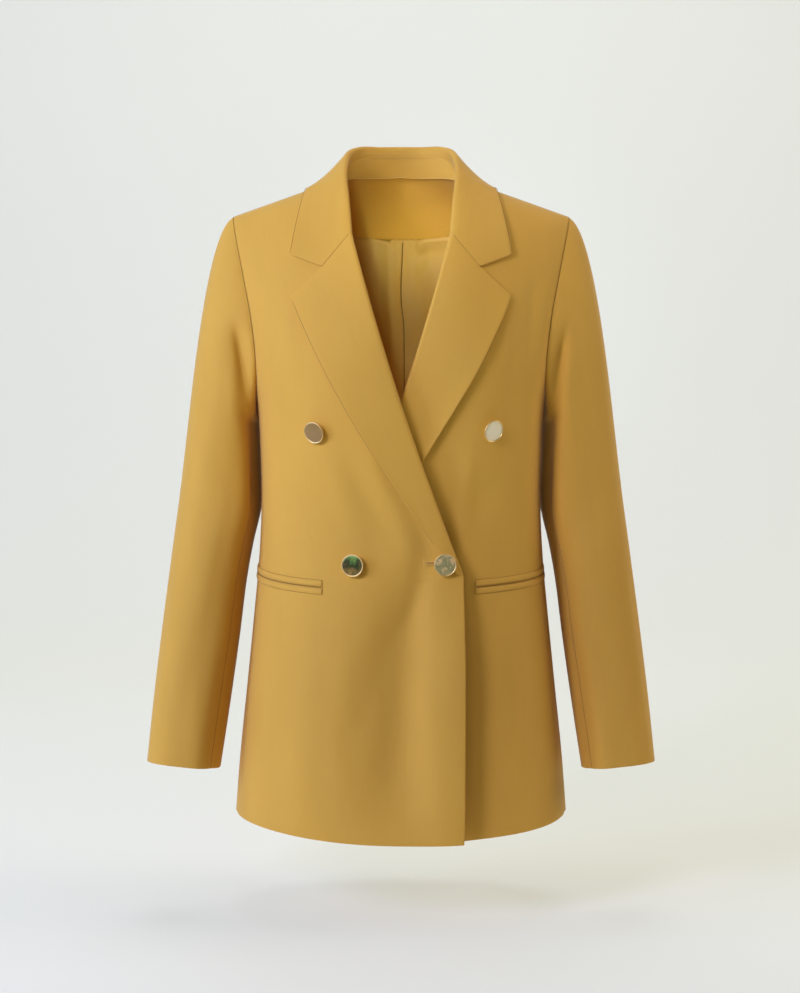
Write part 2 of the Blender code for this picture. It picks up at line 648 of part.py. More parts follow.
def sleeve_fold(phi, row):
    total = np.zeros(np.broadcast(phi, row).shape)
    for angle, start, end, half_angle, depth, lean in SLEEVE_FOLDS:
        middle = angle + lean * (row - (start + end) / 2)
        off = (np.mod(phi - middle + np.pi, 2 * np.pi) - np.pi) / half_angle
        run = (2 * row - start - end) / (end - start)
        total = total + depth * np.exp(-(off**2)) * smooth(1.5 - np.abs(run))
    return total


def sleeve_surface(phi, v):
    """v is 0 at the armhole, 1 at the biceps and 2 at the cuff."""
    phi, v = np.broadcast_arrays(phi, v)
    turn = np.where(phi <= np.pi, phi / np.pi, phi / np.pi - 2)
    outer_share = ((1 - np.cos(phi)) / 2)[..., None]
    outward = np.array(HEAD_OUTWARD)
    downward = np.array(HEAD_DOWNWARD)
    forward = np.array((0.0, 0.25, 0.0)) * np.sin(phi)[..., None] ** 3
    start_way = unit(mix(downward, outward, outer_share) - forward)
    seam = body(*armhole(turn)) + start_way * ARMHOLE_GAP
    biceps = sleeve_ring(phi, np.full(phi.shape, BICEPS_Z))
    below = sleeve_ring(phi, np.full(phi.shape, BICEPS_Z - 0.02))
    chord = np.sqrt(dot(biceps - seam, biceps - seam))
    leave = start_way * mix(0.8 * chord, HEAD_FULLNESS, outer_share)
    arrive = unit(below - biceps) * chord * 1.15
    t = np.clip(v, 0.0, 1.0)[..., None]
    cap = seam * (1 + 2 * t) * (1 - t) ** 2 + leave * t * (1 - t) ** 2
    cap = cap + biceps * (3 - 2 * t) * t**2 - arrive * (1 - t) * t**2
    arm = sleeve_ring(phi, mix(BICEPS_Z, CUFF_Z, np.clip(v - 1, 0.0, 1.0)))
    points = np.where(v[..., None] > 1, arm, cap)
    middle = sleeve_ring(np.array((0.0, np.pi)), np.array((BICEPS_Z, BICEPS_Z))).mean(0)
    level = points[..., 2]
    arm_middle = (sleeve_ring(0 * phi, level) + sleeve_ring(0 * phi + np.pi, level)) / 2
    axis = np.where(v[..., None] > 1, arm_middle, middle)
    inward = (axis - points) * np.array((1.0, 1.0, 0.0))
    valley = fold_depth(SLEEVE_VALLEYS, points[..., 0], points[..., 2])
    beside_seam = smooth((phi - FOREARM_SEAM) / VALLEY_TURN)
    valley = valley * smooth(3 * np.sin(phi)) * beside_seam * smooth(v / VALLEY_START)
    return points + unit(inward) * (sleeve_fold(phi, v / 2) + valley)[..., None]


def sleeve_piece(start, end, columns):
    gap = SEAM_GAP / SLEEVE_GAP_RADIUS
    u = np.linspace(0, 1, columns + 1)[None, :]
    v = rows_of(CAP_ROWS, ARM_ROWS)[:, None]
    drift = FOREARM_DRIFT * smooth(1 - v)
    forearm = u if end == FOREARM_SEAM else 1 - u
    phi = mix(start + gap, end - gap, u) - drift * forearm
    return sleeve_surface(np.mod(phi, 2 * np.pi), v)


# ================================================================ pocket lips
def pocket_lip(low_z, under):
    v = np.linspace(0, 1, LIP_ROWS + 1)[:, None]
    u = np.linspace(0, 1, LIP_COLUMNS + 1)[None, :]
    z = low_z + LIP_HEIGHT * v + POCKET_RISE * u
    angle = mix(angle_at(POCKET_START_X, low_z), POCKET_END, u)
    return front_face(angle, ridge(half_width(z) * np.sin(angle)) - z, under, LIP_LIFT)


# ================================================================ inside of the back
def back_neck_facing():
    neck = NECK_COLUMNS / FACING_COLUMNS
    u = np.linspace(0, 1, FACING_COLUMNS + 1)[:, None]
    v = np.linspace(0, 1, FACING_ROWS + 1)[None, :]
    neck_angle, neck_drop = neckline(np.clip(u / neck, 0.0, 1.0))
    beyond = np.clip((u - neck) / (1 - neck), 0.0, 1.0)
    shoulder_x = mix(NECK_HALF, FACING_HALF, beyond)
    top_angle = np.where(u > neck, np.pi - angle_at(shoulder_x, ridge(shoulder_x)), neck_angle)
    top_drop = np.where(u > neck, 0.0, neck_drop)
    low_x = FACING_HALF * u
    low_z = FACING_Z + FACING_SIDE_RISE * u**2
    low_drop = ridge(low_x) - low_z
    angle = mix(top_angle, np.pi - angle_at(low_x, low_z), v)
    drop = top_drop + (low_drop - top_drop) * v**NECK_POWER
    at_stand = (1 - smooth(2 * v)) * (1 - beyond)
    points = body(angle, drop, -mix(INSIDE_LIE, WALL + 3 * SEAM_GAP, at_stand))
    points[..., 1] = np.maximum(points[..., 1], RIDGE_Y + SEAM_GAP)
    return both_halves(points)


def pleat_path():
    """Across the back, from the wearer's right: x and depth of the lining's outer face, folded in a Z at
    the centre back."""
    bottom = INSIDE_LIE
    middle = bottom + 2 * PLEAT_STEP
    top = middle + PLEAT_STEP
    path = [(-PLEAT_REACH, bottom), (-0.6 * PLEAT_REACH, mix(bottom, top, 0.45))]
    path += [(-PLEAT_WIDTH, top), (-PLEAT_STEP, top)]
    for k in np.linspace(0, np.pi, 5):
        path.append((PLEAT_STEP / 2 * np.sin(k), (top + middle) / 2 + PLEAT_STEP / 2 * np.cos(k)))
    for k in np.linspace(0, np.pi, 6):
        path.append((-PLEAT_WIDTH - PLEAT_STEP * np.sin(k), (middle + bottom) / 2 + PLEAT_STEP * np.cos(k)))
    return path + [(0.0, bottom), (PLEAT_REACH, bottom)]


def lining_back():
    side = np.linspace(LINING_SIDE, LINING_FLAT, LINING_SIDE_COLUMNS)
    gap = SEAM_GAP / 2
    levels = np.linspace(0, 1, LINING_LEVELS)[:, None]
    path = np.array(pleat_path())
    x = np.concatenate([-np.sin(side), path[:, 0], np.sin(side[::-1])])[None, :]
    flat = np.abs(x) > PLEAT_REACH + 0.01  # the side columns hold a share of the half width, not an x
    plain = np.full(LINING_SIDE_COLUMNS, INSIDE_LIE)
    depth = np.concatenate([plain, path[:, 1], plain])[None, :]
    share = np.abs(x) / FACING_HALF * np.where(flat, half_width(FACING_Z), 1.0)
    top = FACING_Z - gap * 2 + FACING_SIDE_RISE * np.clip(share, 0.0, 1.2) ** 2
    z = mix(hem(np.pi) + LINING_HEM_RISE, top, levels)
    reach = np.where(flat, x * half_width(z), x)
    angle = np.pi - np.arcsin(np.clip(reach / half_width(z), -1.0, 1.0))
    drop = ridge(reach) - z
    return back_face(angle, drop, -depth)


# ================================================================ objects
def clear_scene():
    for obj in list(bpy.data.objects):
        bpy.data.objects.remove(obj)


def finish(name, colour, roughness, metallic):
    material = bpy.data.materials.new(name)
    material.use_nodes = True
    shader = material.node_tree.nodes["Principled BSDF"]
    shader.inputs["Base Color"].default_value = (*colour, 1.0)
    shader.inputs["Roughness"].default_value = roughness
    shader.inputs["Metallic"].default_value = metallic
    return material


def cloth(name, points, wall, material, mirrored=False, turned=False):
    """A grid of points as one piece of cloth. Its wall lies behind the face that the rows and columns
    show; mirrored gives the wearer's right, and turned shows the other face."""
    if mirrored:
        points = points * np.array((-1.0, 1.0, 1.0))
    if mirrored != turned:
        points = points[:, ::-1]
    mesh = bpy.data.meshes.new(name)
    grid = bmesh.new()
    corners = [[grid.verts.new(p) for p in row] for row in points]
    for low, high in zip(corners, corners[1:]):
        for a, b, c, d in zip(low, low[1:], high[1:], high):
            grid.faces.new((a, b, c, d))
    grid.to_mesh(mesh)
    grid.free()
    mesh.materials.append(material)
    mesh.shade_smooth()
    obj = bpy.data.objects.new(name, mesh)
    BLAZER.objects.link(obj)
    solidify = obj.modifiers.new("wall", "SOLIDIFY")
    solidify.thickness = wall
    solidify.offset = -1.0
    return obj


def button(name, x, z, material):
    """A disc with a rim on a shank, turned round its own +Z, which stands out from the front."""
    face = BUTTON_HEIGHT - 0.0004
    back = BUTTON_HEIGHT - BUTTON_THICK
    profile = (
        (0.0, face),
        (BUTTON_RADIUS - BUTTON_RIM - 0.0006, face - 0.0003),
        (BUTTON_RADIUS - BUTTON_RIM, BUTTON_HEIGHT),
        (BUTTON_RADIUS - 0.0004, BUTTON_HEIGHT - 0.0002),
        (BUTTON_RADIUS, BUTTON_HEIGHT - 0.0010),
        (BUTTON_RADIUS - 0.0015, back),
        (SHANK_RADIUS, back),
        (SHANK_RADIUS, 0.0),
        (0.0, 0.0),
    )
    mesh = bpy.data.meshes.new(name)
    turned = bmesh.new()
    verts = [turned.verts.new((radius, 0.0, height)) for radius, height in profile]
    for a, b in zip(verts, verts[1:]):
        turned.edges.new((a, b))
    turned.to_mesh(mesh)
    turned.free()
    mesh.materials.append(material)
    obj = bpy.data.objects.new(name, mesh)
    BLAZER.objects.link(obj)
    screw = obj.modifiers.new("turned", "SCREW")
    screw.axis = "Z"
    screw.steps = BUTTON_STEPS
    screw.render_steps = BUTTON_STEPS
    screw.use_merge_vertices = True
    screw.merge_threshold = 0.00005
    side = 1.0 if x > 0 else -1.0
    under = name == "button_upper_left"
    at_front = side if under or x < 0 else -1.0  # the lower left button sits on the right front
    spot = front_at(np.array(x * at_front), np.array(z), under)
    out = unit(front_at(np.array(x * at_front), np.array(z), under, 0.001) - spot)
    turn = np.array((at_front, 1.0, 1.0))
    obj.location = Vector((spot + out * SEAM_GAP) * turn)
    obj.rotation_euler = Vector(out * turn).to_track_quat("Z", "Y").to_euler()
    return obj


def build():
    cloth_finish = finish("blazer_cloth", CLOTH_COLOUR, 0.80, 0.0)
    lining_finish = finish("lining_satin", LINING_COLOUR, 0.40, 0.0)
    metal_finish = finish("button_metal", METAL_COLOUR, 0.22, 1.0)

    for side, mirrored in (("right", True), ("left", False)):
        under = side == "left"
        cloth(f"front_{side}", front_panel(under), WALL, cloth_finish, mirrored)
        cloth(f"side_{side}", side_panel(), WALL, cloth_finish, mirrored)
        cloth(f"back_{side}", back_panel(), WALL, cloth_finish, mirrored, turned=True)
        cloth(f"lapel_{side}", lapel(under), LEAF_WALL, cloth_finish, mirrored)
        top = sleeve_piece(FOREARM_SEAM, ELBOW_SEAM, TOP_COLUMNS)
        cloth(f"sleeve_top_{side}", top, WALL, cloth_finish, mirrored, turned=True)
        below = sleeve_piece(ELBOW_SEAM - 2 * np.pi, FOREARM_SEAM, UNDER_COLUMNS)
        cloth(f"sleeve_under_{side}", below, WALL, cloth_finish, mirrored, turned=True)
        lower_z = POCKET_Z - LIP_GAP / 2 - LIP_HEIGHT
        upper_z = POCKET_Z + LIP_GAP / 2
        for place, low_z in (("lower", lower_z), ("upper", upper_z)):
            cloth(f"welt_{place}_{side}", pocket_lip(low_z, under), THIN_WALL, cloth_finish, mirrored)

    cloth("collar_fall", collar_fall(), LEAF_WALL, cloth_finish, turned=True)
    cloth("collar_stand", collar_stand(), LEAF_WALL, cloth_finish)
    cloth("back_neck_facing", back_neck_facing(), THIN_WALL, cloth_finish)
    cloth("lining_back", lining_back(), THIN_WALL, lining_finish)
    for name, x, z in BUTTON_ROWS:
        button(name, x, z, metal_finish)


clear_scene()
BLAZER = bpy.data.collections.new("double_breasted_blazer")
bpy.context.scene.collection.children.link(BLAZER)
build()
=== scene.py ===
import bpy
import numpy as np
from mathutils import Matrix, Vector


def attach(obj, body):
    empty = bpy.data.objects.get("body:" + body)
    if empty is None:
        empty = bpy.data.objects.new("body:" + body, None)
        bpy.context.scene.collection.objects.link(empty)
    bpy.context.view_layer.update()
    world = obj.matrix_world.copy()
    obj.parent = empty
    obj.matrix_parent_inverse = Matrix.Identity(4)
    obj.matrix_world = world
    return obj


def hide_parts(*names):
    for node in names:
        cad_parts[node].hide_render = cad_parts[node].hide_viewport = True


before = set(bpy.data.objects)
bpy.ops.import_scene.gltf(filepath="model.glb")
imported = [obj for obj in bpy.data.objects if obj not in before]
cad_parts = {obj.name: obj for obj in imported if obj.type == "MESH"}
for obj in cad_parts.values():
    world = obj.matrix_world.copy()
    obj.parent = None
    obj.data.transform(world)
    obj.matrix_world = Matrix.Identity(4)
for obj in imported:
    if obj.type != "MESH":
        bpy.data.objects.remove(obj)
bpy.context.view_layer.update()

# ---- Back panels ----
# Two panels of twill suiting, cut to the waist and joined down the centre back. Each runs
# from the hem over the shoulder blade to the shoulder seam, and is pressed open at its seams.
SUITING_WALL = 0.0015
SEAM_CLOSE = 0.00012  # what is left open between two sewn edges

SHOULDER_LINE_Y = 0.010
NECK_HALF = 0.067
SHOULDER_FALL = 0.355
NECK_ROUND = 0.012
FRONT_POWER, BACK_POWER = 2.4, 2.6
FRONT_ROUND, BACK_ROUND = 0.200, 0.095
ROUND_POWER = 1.5
BODY_ROWS = (  # height, half width, depth of the front, depth of the back
    (-0.740, 0.1895, 0.138, 0.118),
    (-0.640, 0.1815, 0.137, 0.120),
    (-0.560, 0.1730, 0.134, 0.117),
    (-0.480, 0.1648, 0.129, 0.108),
    (-0.420, 0.1592, 0.124, 0.098),
    (-0.360, 0.1563, 0.121, 0.092),
    (-0.300, 0.1572, 0.124, 0.095),
    (-0.245, 0.1607, 0.129, 0.103),
    (-0.200, 0.1700, 0.130, 0.108),
    (-0.150, 0.1822, 0.128, 0.110),
    (-0.100, 0.1938, 0.124, 0.109),
    (-0.045, 0.2065, 0.118, 0.106),
    (0.040, 0.2150, 0.112, 0.100),
)
SIDE_HEM_Z, FRONT_HEM_DIP, BACK_HEM_DIP = -0.707, 0.011, 0.004
FRONT_SEAM, BACK_SEAM = np.radians((80, 113))
UNDERARM_Z = -0.245
ARMHOLE_TURN = np.radians(25.7)
ARMHOLE_CURVE, ARMHOLE_SPLIT = 0.115, 0.45
BACK_NECK_Z, BACK_NECK_POWER = 0.0058, 4.0
CHEST_Z = -0.205
FRONT_DRAPES, BACK_DRAPES = np.radians((58, 45))  # either side of the centre, where the folds lie
DRAPE_FADE = np.radians(20)
BACK_FOLDS = (  # x and z of the start, x and z of the end, half the width, depth
    (0.115, -0.120, 0.105, -0.260, 0.022, 0.0024),
    (0.060, -0.380, 0.085, -0.680, 0.026, 0.0028),
    (0.020, -0.340, 0.110, -0.325, 0.016, 0.0015),
)
BACK_CREASES = (
    (0.014, -0.372, 0.092, -0.352, 0.009, 0.0011),
    (0.016, -0.300, 0.078, -0.312, 0.010, 0.0009),
    (0.130, -0.200, 0.118, -0.330, 0.010, -0.0011),
    (0.034, -0.480, 0.044, -0.690, 0.014, -0.0013),
    (0.112, -0.470, 0.128, -0.690, 0.013, 0.0012),
    (0.030, -0.060, 0.090, -0.085, 0.014, 0.0010),
)


def mix(a, b, t):
    return a + (b - a) * t


def held(t):
    return np.clip(t, 0.0, 1.0)


def smooth(t):
    t = held(t)
    return t * t * (3 - 2 * t)


def curve(rows):
    """A smooth curve through a table, read by the values of its first column."""
    table = np.array(sorted(rows))
    keys, values = table[:, 0], table[:, 1:]
    slopes = np.gradient(values, keys, axis=0)

    def read(key):
        key = np.clip(np.asarray(key, float), keys[0], keys[-1])
        i = np.clip(np.searchsorted(keys, key, side="right") - 1, 0, len(keys) - 2)
        span = (keys[i + 1] - keys[i])[..., None]
        t = (key - keys[i])[..., None] / span
        rise = values[i] * (1 + 2 * t) + slopes[i] * span * t
        fall = values[i + 1] * (3 - 2 * t) - slopes[i + 1] * span * (1 - t)
        return rise * (1 - t) ** 2 + fall * t**2

    return read


def unit(vectors):
    return vectors / np.maximum(np.linalg.norm(vectors, axis=-1, keepdims=True), 1e-12)


def dot(a, b):
    return (a * b).sum(-1, keepdims=True)


def stacked(x, y, z):
    return np.stack(np.broadcast_arrays(x, y, z), -1)


def fold_depth(folds, x, z):
    """How far soft folds push the cloth in at x, z. Each fades out past both its ends."""
    total = np.zeros(np.broadcast(x, z).shape)
    for start_x, start_z, end_x, end_z, half_width, depth in folds:
        run_x, run_z = end_x - start_x, end_z - start_z
        t = ((x - start_x) * run_x + (z - start_z) * run_z) / (run_x**2 + run_z**2)
        near = held(t)
        off = np.hypot(x - start_x - run_x * near, z - start_z - run_z * near)
        total = total + depth * smooth(1.4 - np.abs(2 * t - 1)) * np.exp(-((off / half_width) ** 2))
    return total


body_section = curve(BODY_ROWS)


def half_width(z):
    return body_section(z)[..., 0]


def ridge(x):
    """Height of the shoulder line."""
    return -SHOULDER_FALL * (np.hypot(x, NECK_ROUND) - NECK_HALF)


def drop_to(angle, z):
    """Drop below the shoulder line of a height on the body."""
    return ridge(half_width(z) * np.sin(angle)) - z


def turned_in(drop, height):
    left = 1 - held(drop / height)
    return np.sqrt(1 - left**ROUND_POWER)


def body_raw(angle, drop):
    """The jacket's body by angle round from the centre front and drop below the shoulder line."""
    z = -np.asarray(drop, float)
    for _ in range(4):
        x = half_width(z) * np.sin(angle)
        z = ridge(x) - drop
    section = body_section(z)
    share = np.abs(np.sin(angle))
    ahead = section[..., 1] * turned_in(drop, FRONT_ROUND)
    ahead = ahead * (1 - share**FRONT_POWER) ** (1 / FRONT_POWER)
    behind = section[..., 2] * turned_in(drop, BACK_ROUND)
    behind = behind * (1 - share**BACK_POWER) ** (1 / BACK_POWER)
    return stacked(x, SHOULDER_LINE_Y + np.where(np.cos(angle) >= 0, -ahead, behind), z)


def body_normal(angle, drop):
    step = 0.004
    low = np.maximum(drop - 0.0008, 0.0)
    here = body_raw(angle, drop)
    around = body_raw(angle + step, drop) - body_raw(angle - step, drop)
    down = body_raw(angle, drop + 0.0008) - body_raw(angle, low)
    normal = unit(np.cross(around, down))
    inside = np.array((0.0, SHOULDER_LINE_Y, -0.30))
    return normal * np.sign(dot(normal, here - inside))


def body(angle, drop, out=0.0):
    return body_raw(angle, drop) + body_normal(angle, drop) * np.asarray(out)[..., None]


def angle_at(x, z):
    return np.arcsin(np.clip(x / half_width(z), -1.0, 1.0))


def armhole(turn):
    """Angle and drop on the armhole seam: turn is 0 under the arm, 1 at the shoulder point by way of
    the front and -1 by way of the back."""
    share = np.abs(turn)
    side = np.where(np.asarray(turn) >= 0, 1.0, -1.0)
    bend = np.pi / 2 * held(share / ARMHOLE_SPLIT)
    angle = np.pi / 2 - side * ARMHOLE_TURN * np.sin(bend)
    z = UNDERARM_Z + ARMHOLE_CURVE * (1 - np.cos(bend))
    drop = drop_to(angle, z)
    left = held((1 - share) / (1 - ARMHOLE_SPLIT))
    return angle, drop * left**1.6


def armhole_turn(angle):
    bend = np.arcsin(np.clip((np.pi / 2 - angle) / ARMHOLE_TURN, -1.0, 1.0))
    return ARMHOLE_SPLIT * bend / (np.pi / 2)


def hem(angle):
    dip = np.where(np.cos(angle) > 0, FRONT_HEM_DIP, BACK_HEM_DIP)
    return SIDE_HEM_Z - dip * np.abs(np.cos(angle)) ** 3


def stretch(v, i):
    return held(v - i)


def panel_outer(v, seam, sign, gap):
    """Angle and height of a panel's side edge: its side seam while v is below 2, then the armhole."""
    corner = armhole_turn(seam)
    seam_top = body_raw(*armhole(corner))[..., 2]
    arm_angle, arm_drop = armhole(mix(corner, sign, stretch(v / 2, 1)))
    arm_z = body_raw(arm_angle, arm_drop)[..., 2]
    z = np.where(v > 2, arm_z, mix(hem(seam), seam_top, stretch(v / 2, 0)))
    return np.where(v > 2, arm_angle, seam) + gap, z


def neckline(share):
    """Angle and drop on the back neck seam, from the centre back to the side neck point."""
    turn = share * np.pi / 2
    angle = np.pi - angle_at(NECK_HALF * np.sin(turn), 0.0)
    return angle, (ridge(0.0) - BACK_NECK_Z) * np.maximum(np.cos(turn), 0.0) ** BACK_NECK_POWER


def back_face(angle, drop, out=0.0, creases=()):
    raw = body_raw(angle, drop)
    to_side = 1 - smooth((np.abs(np.pi - angle) - BACK_DRAPES) / DRAPE_FADE)
    fold = fold_depth(BACK_FOLDS + creases, np.abs(raw[..., 0]), raw[..., 2])
    return body(angle, drop, out - fold * to_side * smooth(drop / 0.08))


def edged(count):
    """Steps from 0 to 1, close together at both ends where a seam pulls the cloth down."""
    return np.concatenate([(0.0, 0.006, 0.014), np.linspace(0.028, 0.972, count - 5), (0.986, 0.994, 1.0)])


def seam_dip(u, width, depth=0.0007, reach=0.0035):
    """The cloth sinks a little into the seam along both edges of a panel."""
    near = np.minimum(u, 1 - u) * width
    return depth * np.exp(-((near / reach) ** 2))


def back_panel():
    neck = 0.42
    v = np.append(np.linspace(0, 1, 46)[:-1], np.linspace(1, 2, 34))[:, None]
    u = edged(44)[None, :]
    gap = SEAM_CLOSE / 2 / 0.12
    angle_out, z_out = panel_outer(2 * v, BACK_SEAM, -1.0, gap)
    low_angle = mix(np.pi - gap, BACK_SEAM + gap, u)
    chest_top = body_raw(*armhole(armhole_turn(BACK_SEAM)))[..., 2]
    low_z = mix(hem(low_angle), mix(CHEST_Z, chest_top, u), stretch(v, 0))
    low_drop = drop_to(low_angle, low_z)
    neck_angle, neck_drop = neckline(held(u / neck))
    shoulder = held((u - neck) / (1 - neck))
    side_neck = np.pi - angle_at(NECK_HALF, 0.0)
    on_shoulder = mix(side_neck, np.pi / 2 + ARMHOLE_TURN, shoulder)
    top_angle = np.where(u > neck, on_shoulder, neck_angle - gap)
    top_drop = np.where(u > neck, 0.0, neck_drop)
    rise = stretch(v, 1)
    angle = mix(low_angle, top_angle, smooth(rise))
    drop = top_drop + (low_drop - top_drop) * (1 - rise) ** 1.7
    to_armhole = smooth((u - 0.5) / 0.5) * (v > 1)
    drop_out = drop_to(angle_out, z_out)
    angle = mix(angle, angle_out, to_armhole)
    drop = np.maximum(mix(drop, drop_out, to_armhole), 0.0)
    points = back_face(angle, drop, -seam_dip(u, 0.16), BACK_CREASES)
    points[..., 1] = np.maximum(points[..., 1], SHOULDER_LINE_Y + SEAM_CLOSE)
    return points


def wired(node, **sockets):
    """Sets a node's sockets, each named with _ for a space, or feeds them from other nodes."""
    for name, value in sockets.items():
        socket = node.inputs[name.replace("_", " ")]
        if isinstance(value, bpy.types.NodeSocket):
            node.id_data.links.new(value, socket)
        else:
            socket.default_value = value
    return node


def new_node(tree, kind, **sockets):
    return wired(tree.nodes.new("ShaderNode" + kind), **sockets)


def shader_material(name):
    material = bpy.data.materials.new(name)
    material.use_nodes = True
    tree = material.node_tree
    return material, tree, tree.nodes["Principled BSDF"]


def on_threads(tree):
    threads = new_node(tree, "UVMap")
    threads.uv_map = "threads"
    return threads.outputs["UV"]


def on_object(tree):
    return new_node(tree, "TexCoord").outputs["Object"]


def noise(tree, coordinate, scale, stretched=(1.0, 1.0, 1.0), detail=3.0):
    """Soft noise; stretched squeezes it across or along the cloth's threads."""
    place = new_node(tree, "Mapping", Scale=stretched, Vector=coordinate).outputs["Vector"]
    return new_node(tree, "TexNoise", Scale=scale, Detail=detail, Vector=place).outputs["Fac"]


def between(tree, low, high, amount):
    """A colour between two, by an amount from 0 to 1."""
    blend = tree.nodes.new("ShaderNodeMix")
    blend.data_type = "RGBA"
    low, high = ((*c, 1.0) if isinstance(c, tuple) else c for c in (low, high))
    return wired(blend, A=low, B=high, Factor=amount).outputs["Result"]


def spread(tree, amount, low, high):
    """An amount from 0 to 1 laid out from low to high."""
    return new_node(tree, "MapRange", Value=amount, To_Min=low, To_Max=high).outputs["Result"]


def relief(tree, height, strength, distance, **under):
    """Fine relief, over another one if that is given as Normal."""
    bump = new_node(tree, "Bump", Height=height, Strength=strength, Distance=distance, **under)
    return bump.outputs["Normal"]


TWILL_COLOURS = (  # dark and pale warp yarn, weft, and where the dye took more
    (0.570, 0.295, 0.030),
    (0.665, 0.362, 0.045),
    (0.610, 0.325, 0.036),
    (0.698, 0.378, 0.041),
)


def twill_suiting(name, shade=1.0):
    """Mustard twill: fine diagonal ribs, slightly uneven yarn, a soft bloom where it turns away."""
    material, tree, shader = shader_material(name)
    along = on_threads(tree)
    rib = new_node(tree, "TexWave", Scale=560.0, Distortion=1.2, Detail=1.0, Vector=along)
    rib.bands_direction = "DIAGONAL"
    slub = noise(tree, along, 260.0, (1.0, 0.10, 1.0))
    weft = noise(tree, along, 300.0, (0.12, 1.0, 1.0))
    dye = noise(tree, along, 24.0, (1.0, 0.40, 1.0), 5.0)
    # A shade above 1 gives a paler copy of the twill: painted light.
    dark, pale, crossing, dyed = (tuple(shade * c for c in colour) for colour in TWILL_COLOURS)
    yarn = between(tree, between(tree, dark, pale, slub), crossing, weft)
    hand = relief(tree, noise(tree, along, 34.0, (1.0, 0.42, 1.0), 2.0), 0.55, 0.0011)
    nap = relief(tree, slub, 0.35, 0.00012, Normal=hand)
    ribs = relief(tree, rib.outputs["Fac"], 0.30, 0.00006, Normal=nap)
    wired(shader, Base_Color=between(tree, yarn, dyed, dye), Roughness=spread(tree, slub, 0.76, 0.90))
    wired(shader, Sheen_Weight=0.17, Sheen_Roughness=0.42, Sheen_Tint=(1.0, 0.92, 0.74, 1.0), Normal=ribs)
    return material


MUSTARD_TWILL = twill_suiting("mustard_twill")
MIRROR = np.array((-1.0, 1.0, 1.0))


def thread_lengths(points):
    """Metres along the threads, across and up each row of a piece."""
    across = np.linalg.norm(np.diff(points, axis=1), axis=-1).cumsum(1)
    up = np.linalg.norm(np.diff(points, axis=0), axis=-1).cumsum(0)
    across = np.concatenate([np.zeros((len(points), 1)), across], 1)
    up = np.concatenate([np.zeros((1, points.shape[1])), up], 0)
    return across - across[:, -1:] / 2, up


def placed(name, data):
    thing = bpy.data.objects.new(name, data)
    bpy.context.scene.collection.objects.link(thing)
    return thing


def quads(rows, columns, closed=False):
    """Faces over rows of points; closed joins the last column to the first."""
    index = np.arange(rows * columns).reshape(rows, columns)
    after = np.roll(index, -1, axis=1)
    faces = np.stack([index[:-1], after[:-1], after[1:], index[1:]], -1)
    return faces[:, : columns if closed else -1].reshape(-1, 4)


def modelled(name, points, faces, *materials):
    """A smooth mesh with these materials, placed in the scene."""
    mesh = bpy.data.meshes.new(name)
    mesh.from_pydata(points.reshape(-1, 3).tolist(), [], faces)
    for material in materials:
        mesh.materials.append(material)
    mesh.shade_smooth()
    return placed(name, mesh)


def cut_cloth(cloth, node, points, turned=False, soft_edge=0.0005,
              wall=SUITING_WALL, material=MUSTARD_TWILL):
    """A worn piece from rows of points on its outer face, with its wall behind them and edges rounded
    as pressed edges are. A right-hand piece is mirrored. It stands for its solid and states its cut."""
    across, up = thread_lengths(points)
    mirrored = node.endswith("_right")
    if mirrored:
        points, across = points * MIRROR, -across
    if mirrored != turned:
        points, across, up = points[:, ::-1], across[:, ::-1], up[:, ::-1]
    faces = quads(*points.shape[:2])
    piece = modelled(f"{cloth}_{node}", points, faces.tolist(), material)
    metres = np.stack([across.ravel(), up.ravel()], 1)[faces.ravel()]
    piece.data.uv_layers.new(name="threads").data.foreach_set("uv", metres.ravel())
    solidify = piece.modifiers.new("wall", "SOLIDIFY")
    solidify.thickness = wall
    solidify.offset = -1.0
    if soft_edge:
        bevel = piece.modifiers.new("pressed edge", "BEVEL")
        bevel.width = soft_edge
        bevel.segments = 2
        bevel.limit_method = "ANGLE"
        bevel.angle_limit = np.radians(50)
    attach(piece, "root")
    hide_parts(node)


def line_material(name, dark, pale, twist, **finish):
    """A colour twisted tight as a thread's plies are: for sewing thread, and for the dark lines of painted
    shade.
    """
    material, tree, shader = shader_material(name)
    plies = noise(tree, on_object(tree), twist)
    wired(shader, Base_Color=between(tree, dark, pale, plies), **finish)
    return material


# Painted shade: the dark colour of the fine lines laid in the seam ditches, beside the pleat, in the pocket
# mouths and buttonhole slit, and under the leaf edges.
SEAM_SHADE_DARK, SEAM_SHADE_PALE = (0.300, 0.155, 0.018), (0.400, 0.220, 0.030)
PAINTED_SEAM_SHADE = line_material("mustard_painted_seam_shade", SEAM_SHADE_DARK, SEAM_SHADE_PALE, 700.0, Roughness=0.85)


def spokes(side, out):
    """Six directions round a thread."""
    turns = np.pi * np.arange(6)[:, None] / 3
    return side[..., None, :] * np.cos(turns) + out[..., None, :] * np.sin(turns)


def tubes_round(name, rings, material):
    """Closed six-sided tubes from their rings, given tube by tube: sewing threads, and the fine lines of
    painted shade and painted highlight.
    """
    sides = quads(rings.shape[1], 6, True)
    faces = []
    for first in range(0, rings.size // 3, rings.shape[1] * 6):
        faces += (sides + first).tolist()
        faces.append([first + k for k in range(5, -1, -1)])
        faces.append([first + sides.max() - k for k in range(5, -1, -1)])
    thread = modelled(name, rings, faces, material)
    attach(thread, "root")
    return thread


def sunk_line(name, path, out, width=0.0006, material=PAINTED_SEAM_SHADE):
    """A fine line along a path of points on the cloth; in its default dark colour it is painted shade, laid
    where the cloth dips into a seam, a fold or a slit.
    """
    along = unit(np.gradient(path, axis=0))
    side = unit(np.cross(out, along))
    radius = np.full((len(path), 1, 1), width / 2)
    radius[[0, -1]] *= 0.4
    rings = path[:, None] + spokes(side, unit(np.cross(along, side))) * radius
    tubes_round(name, rings[None], material)


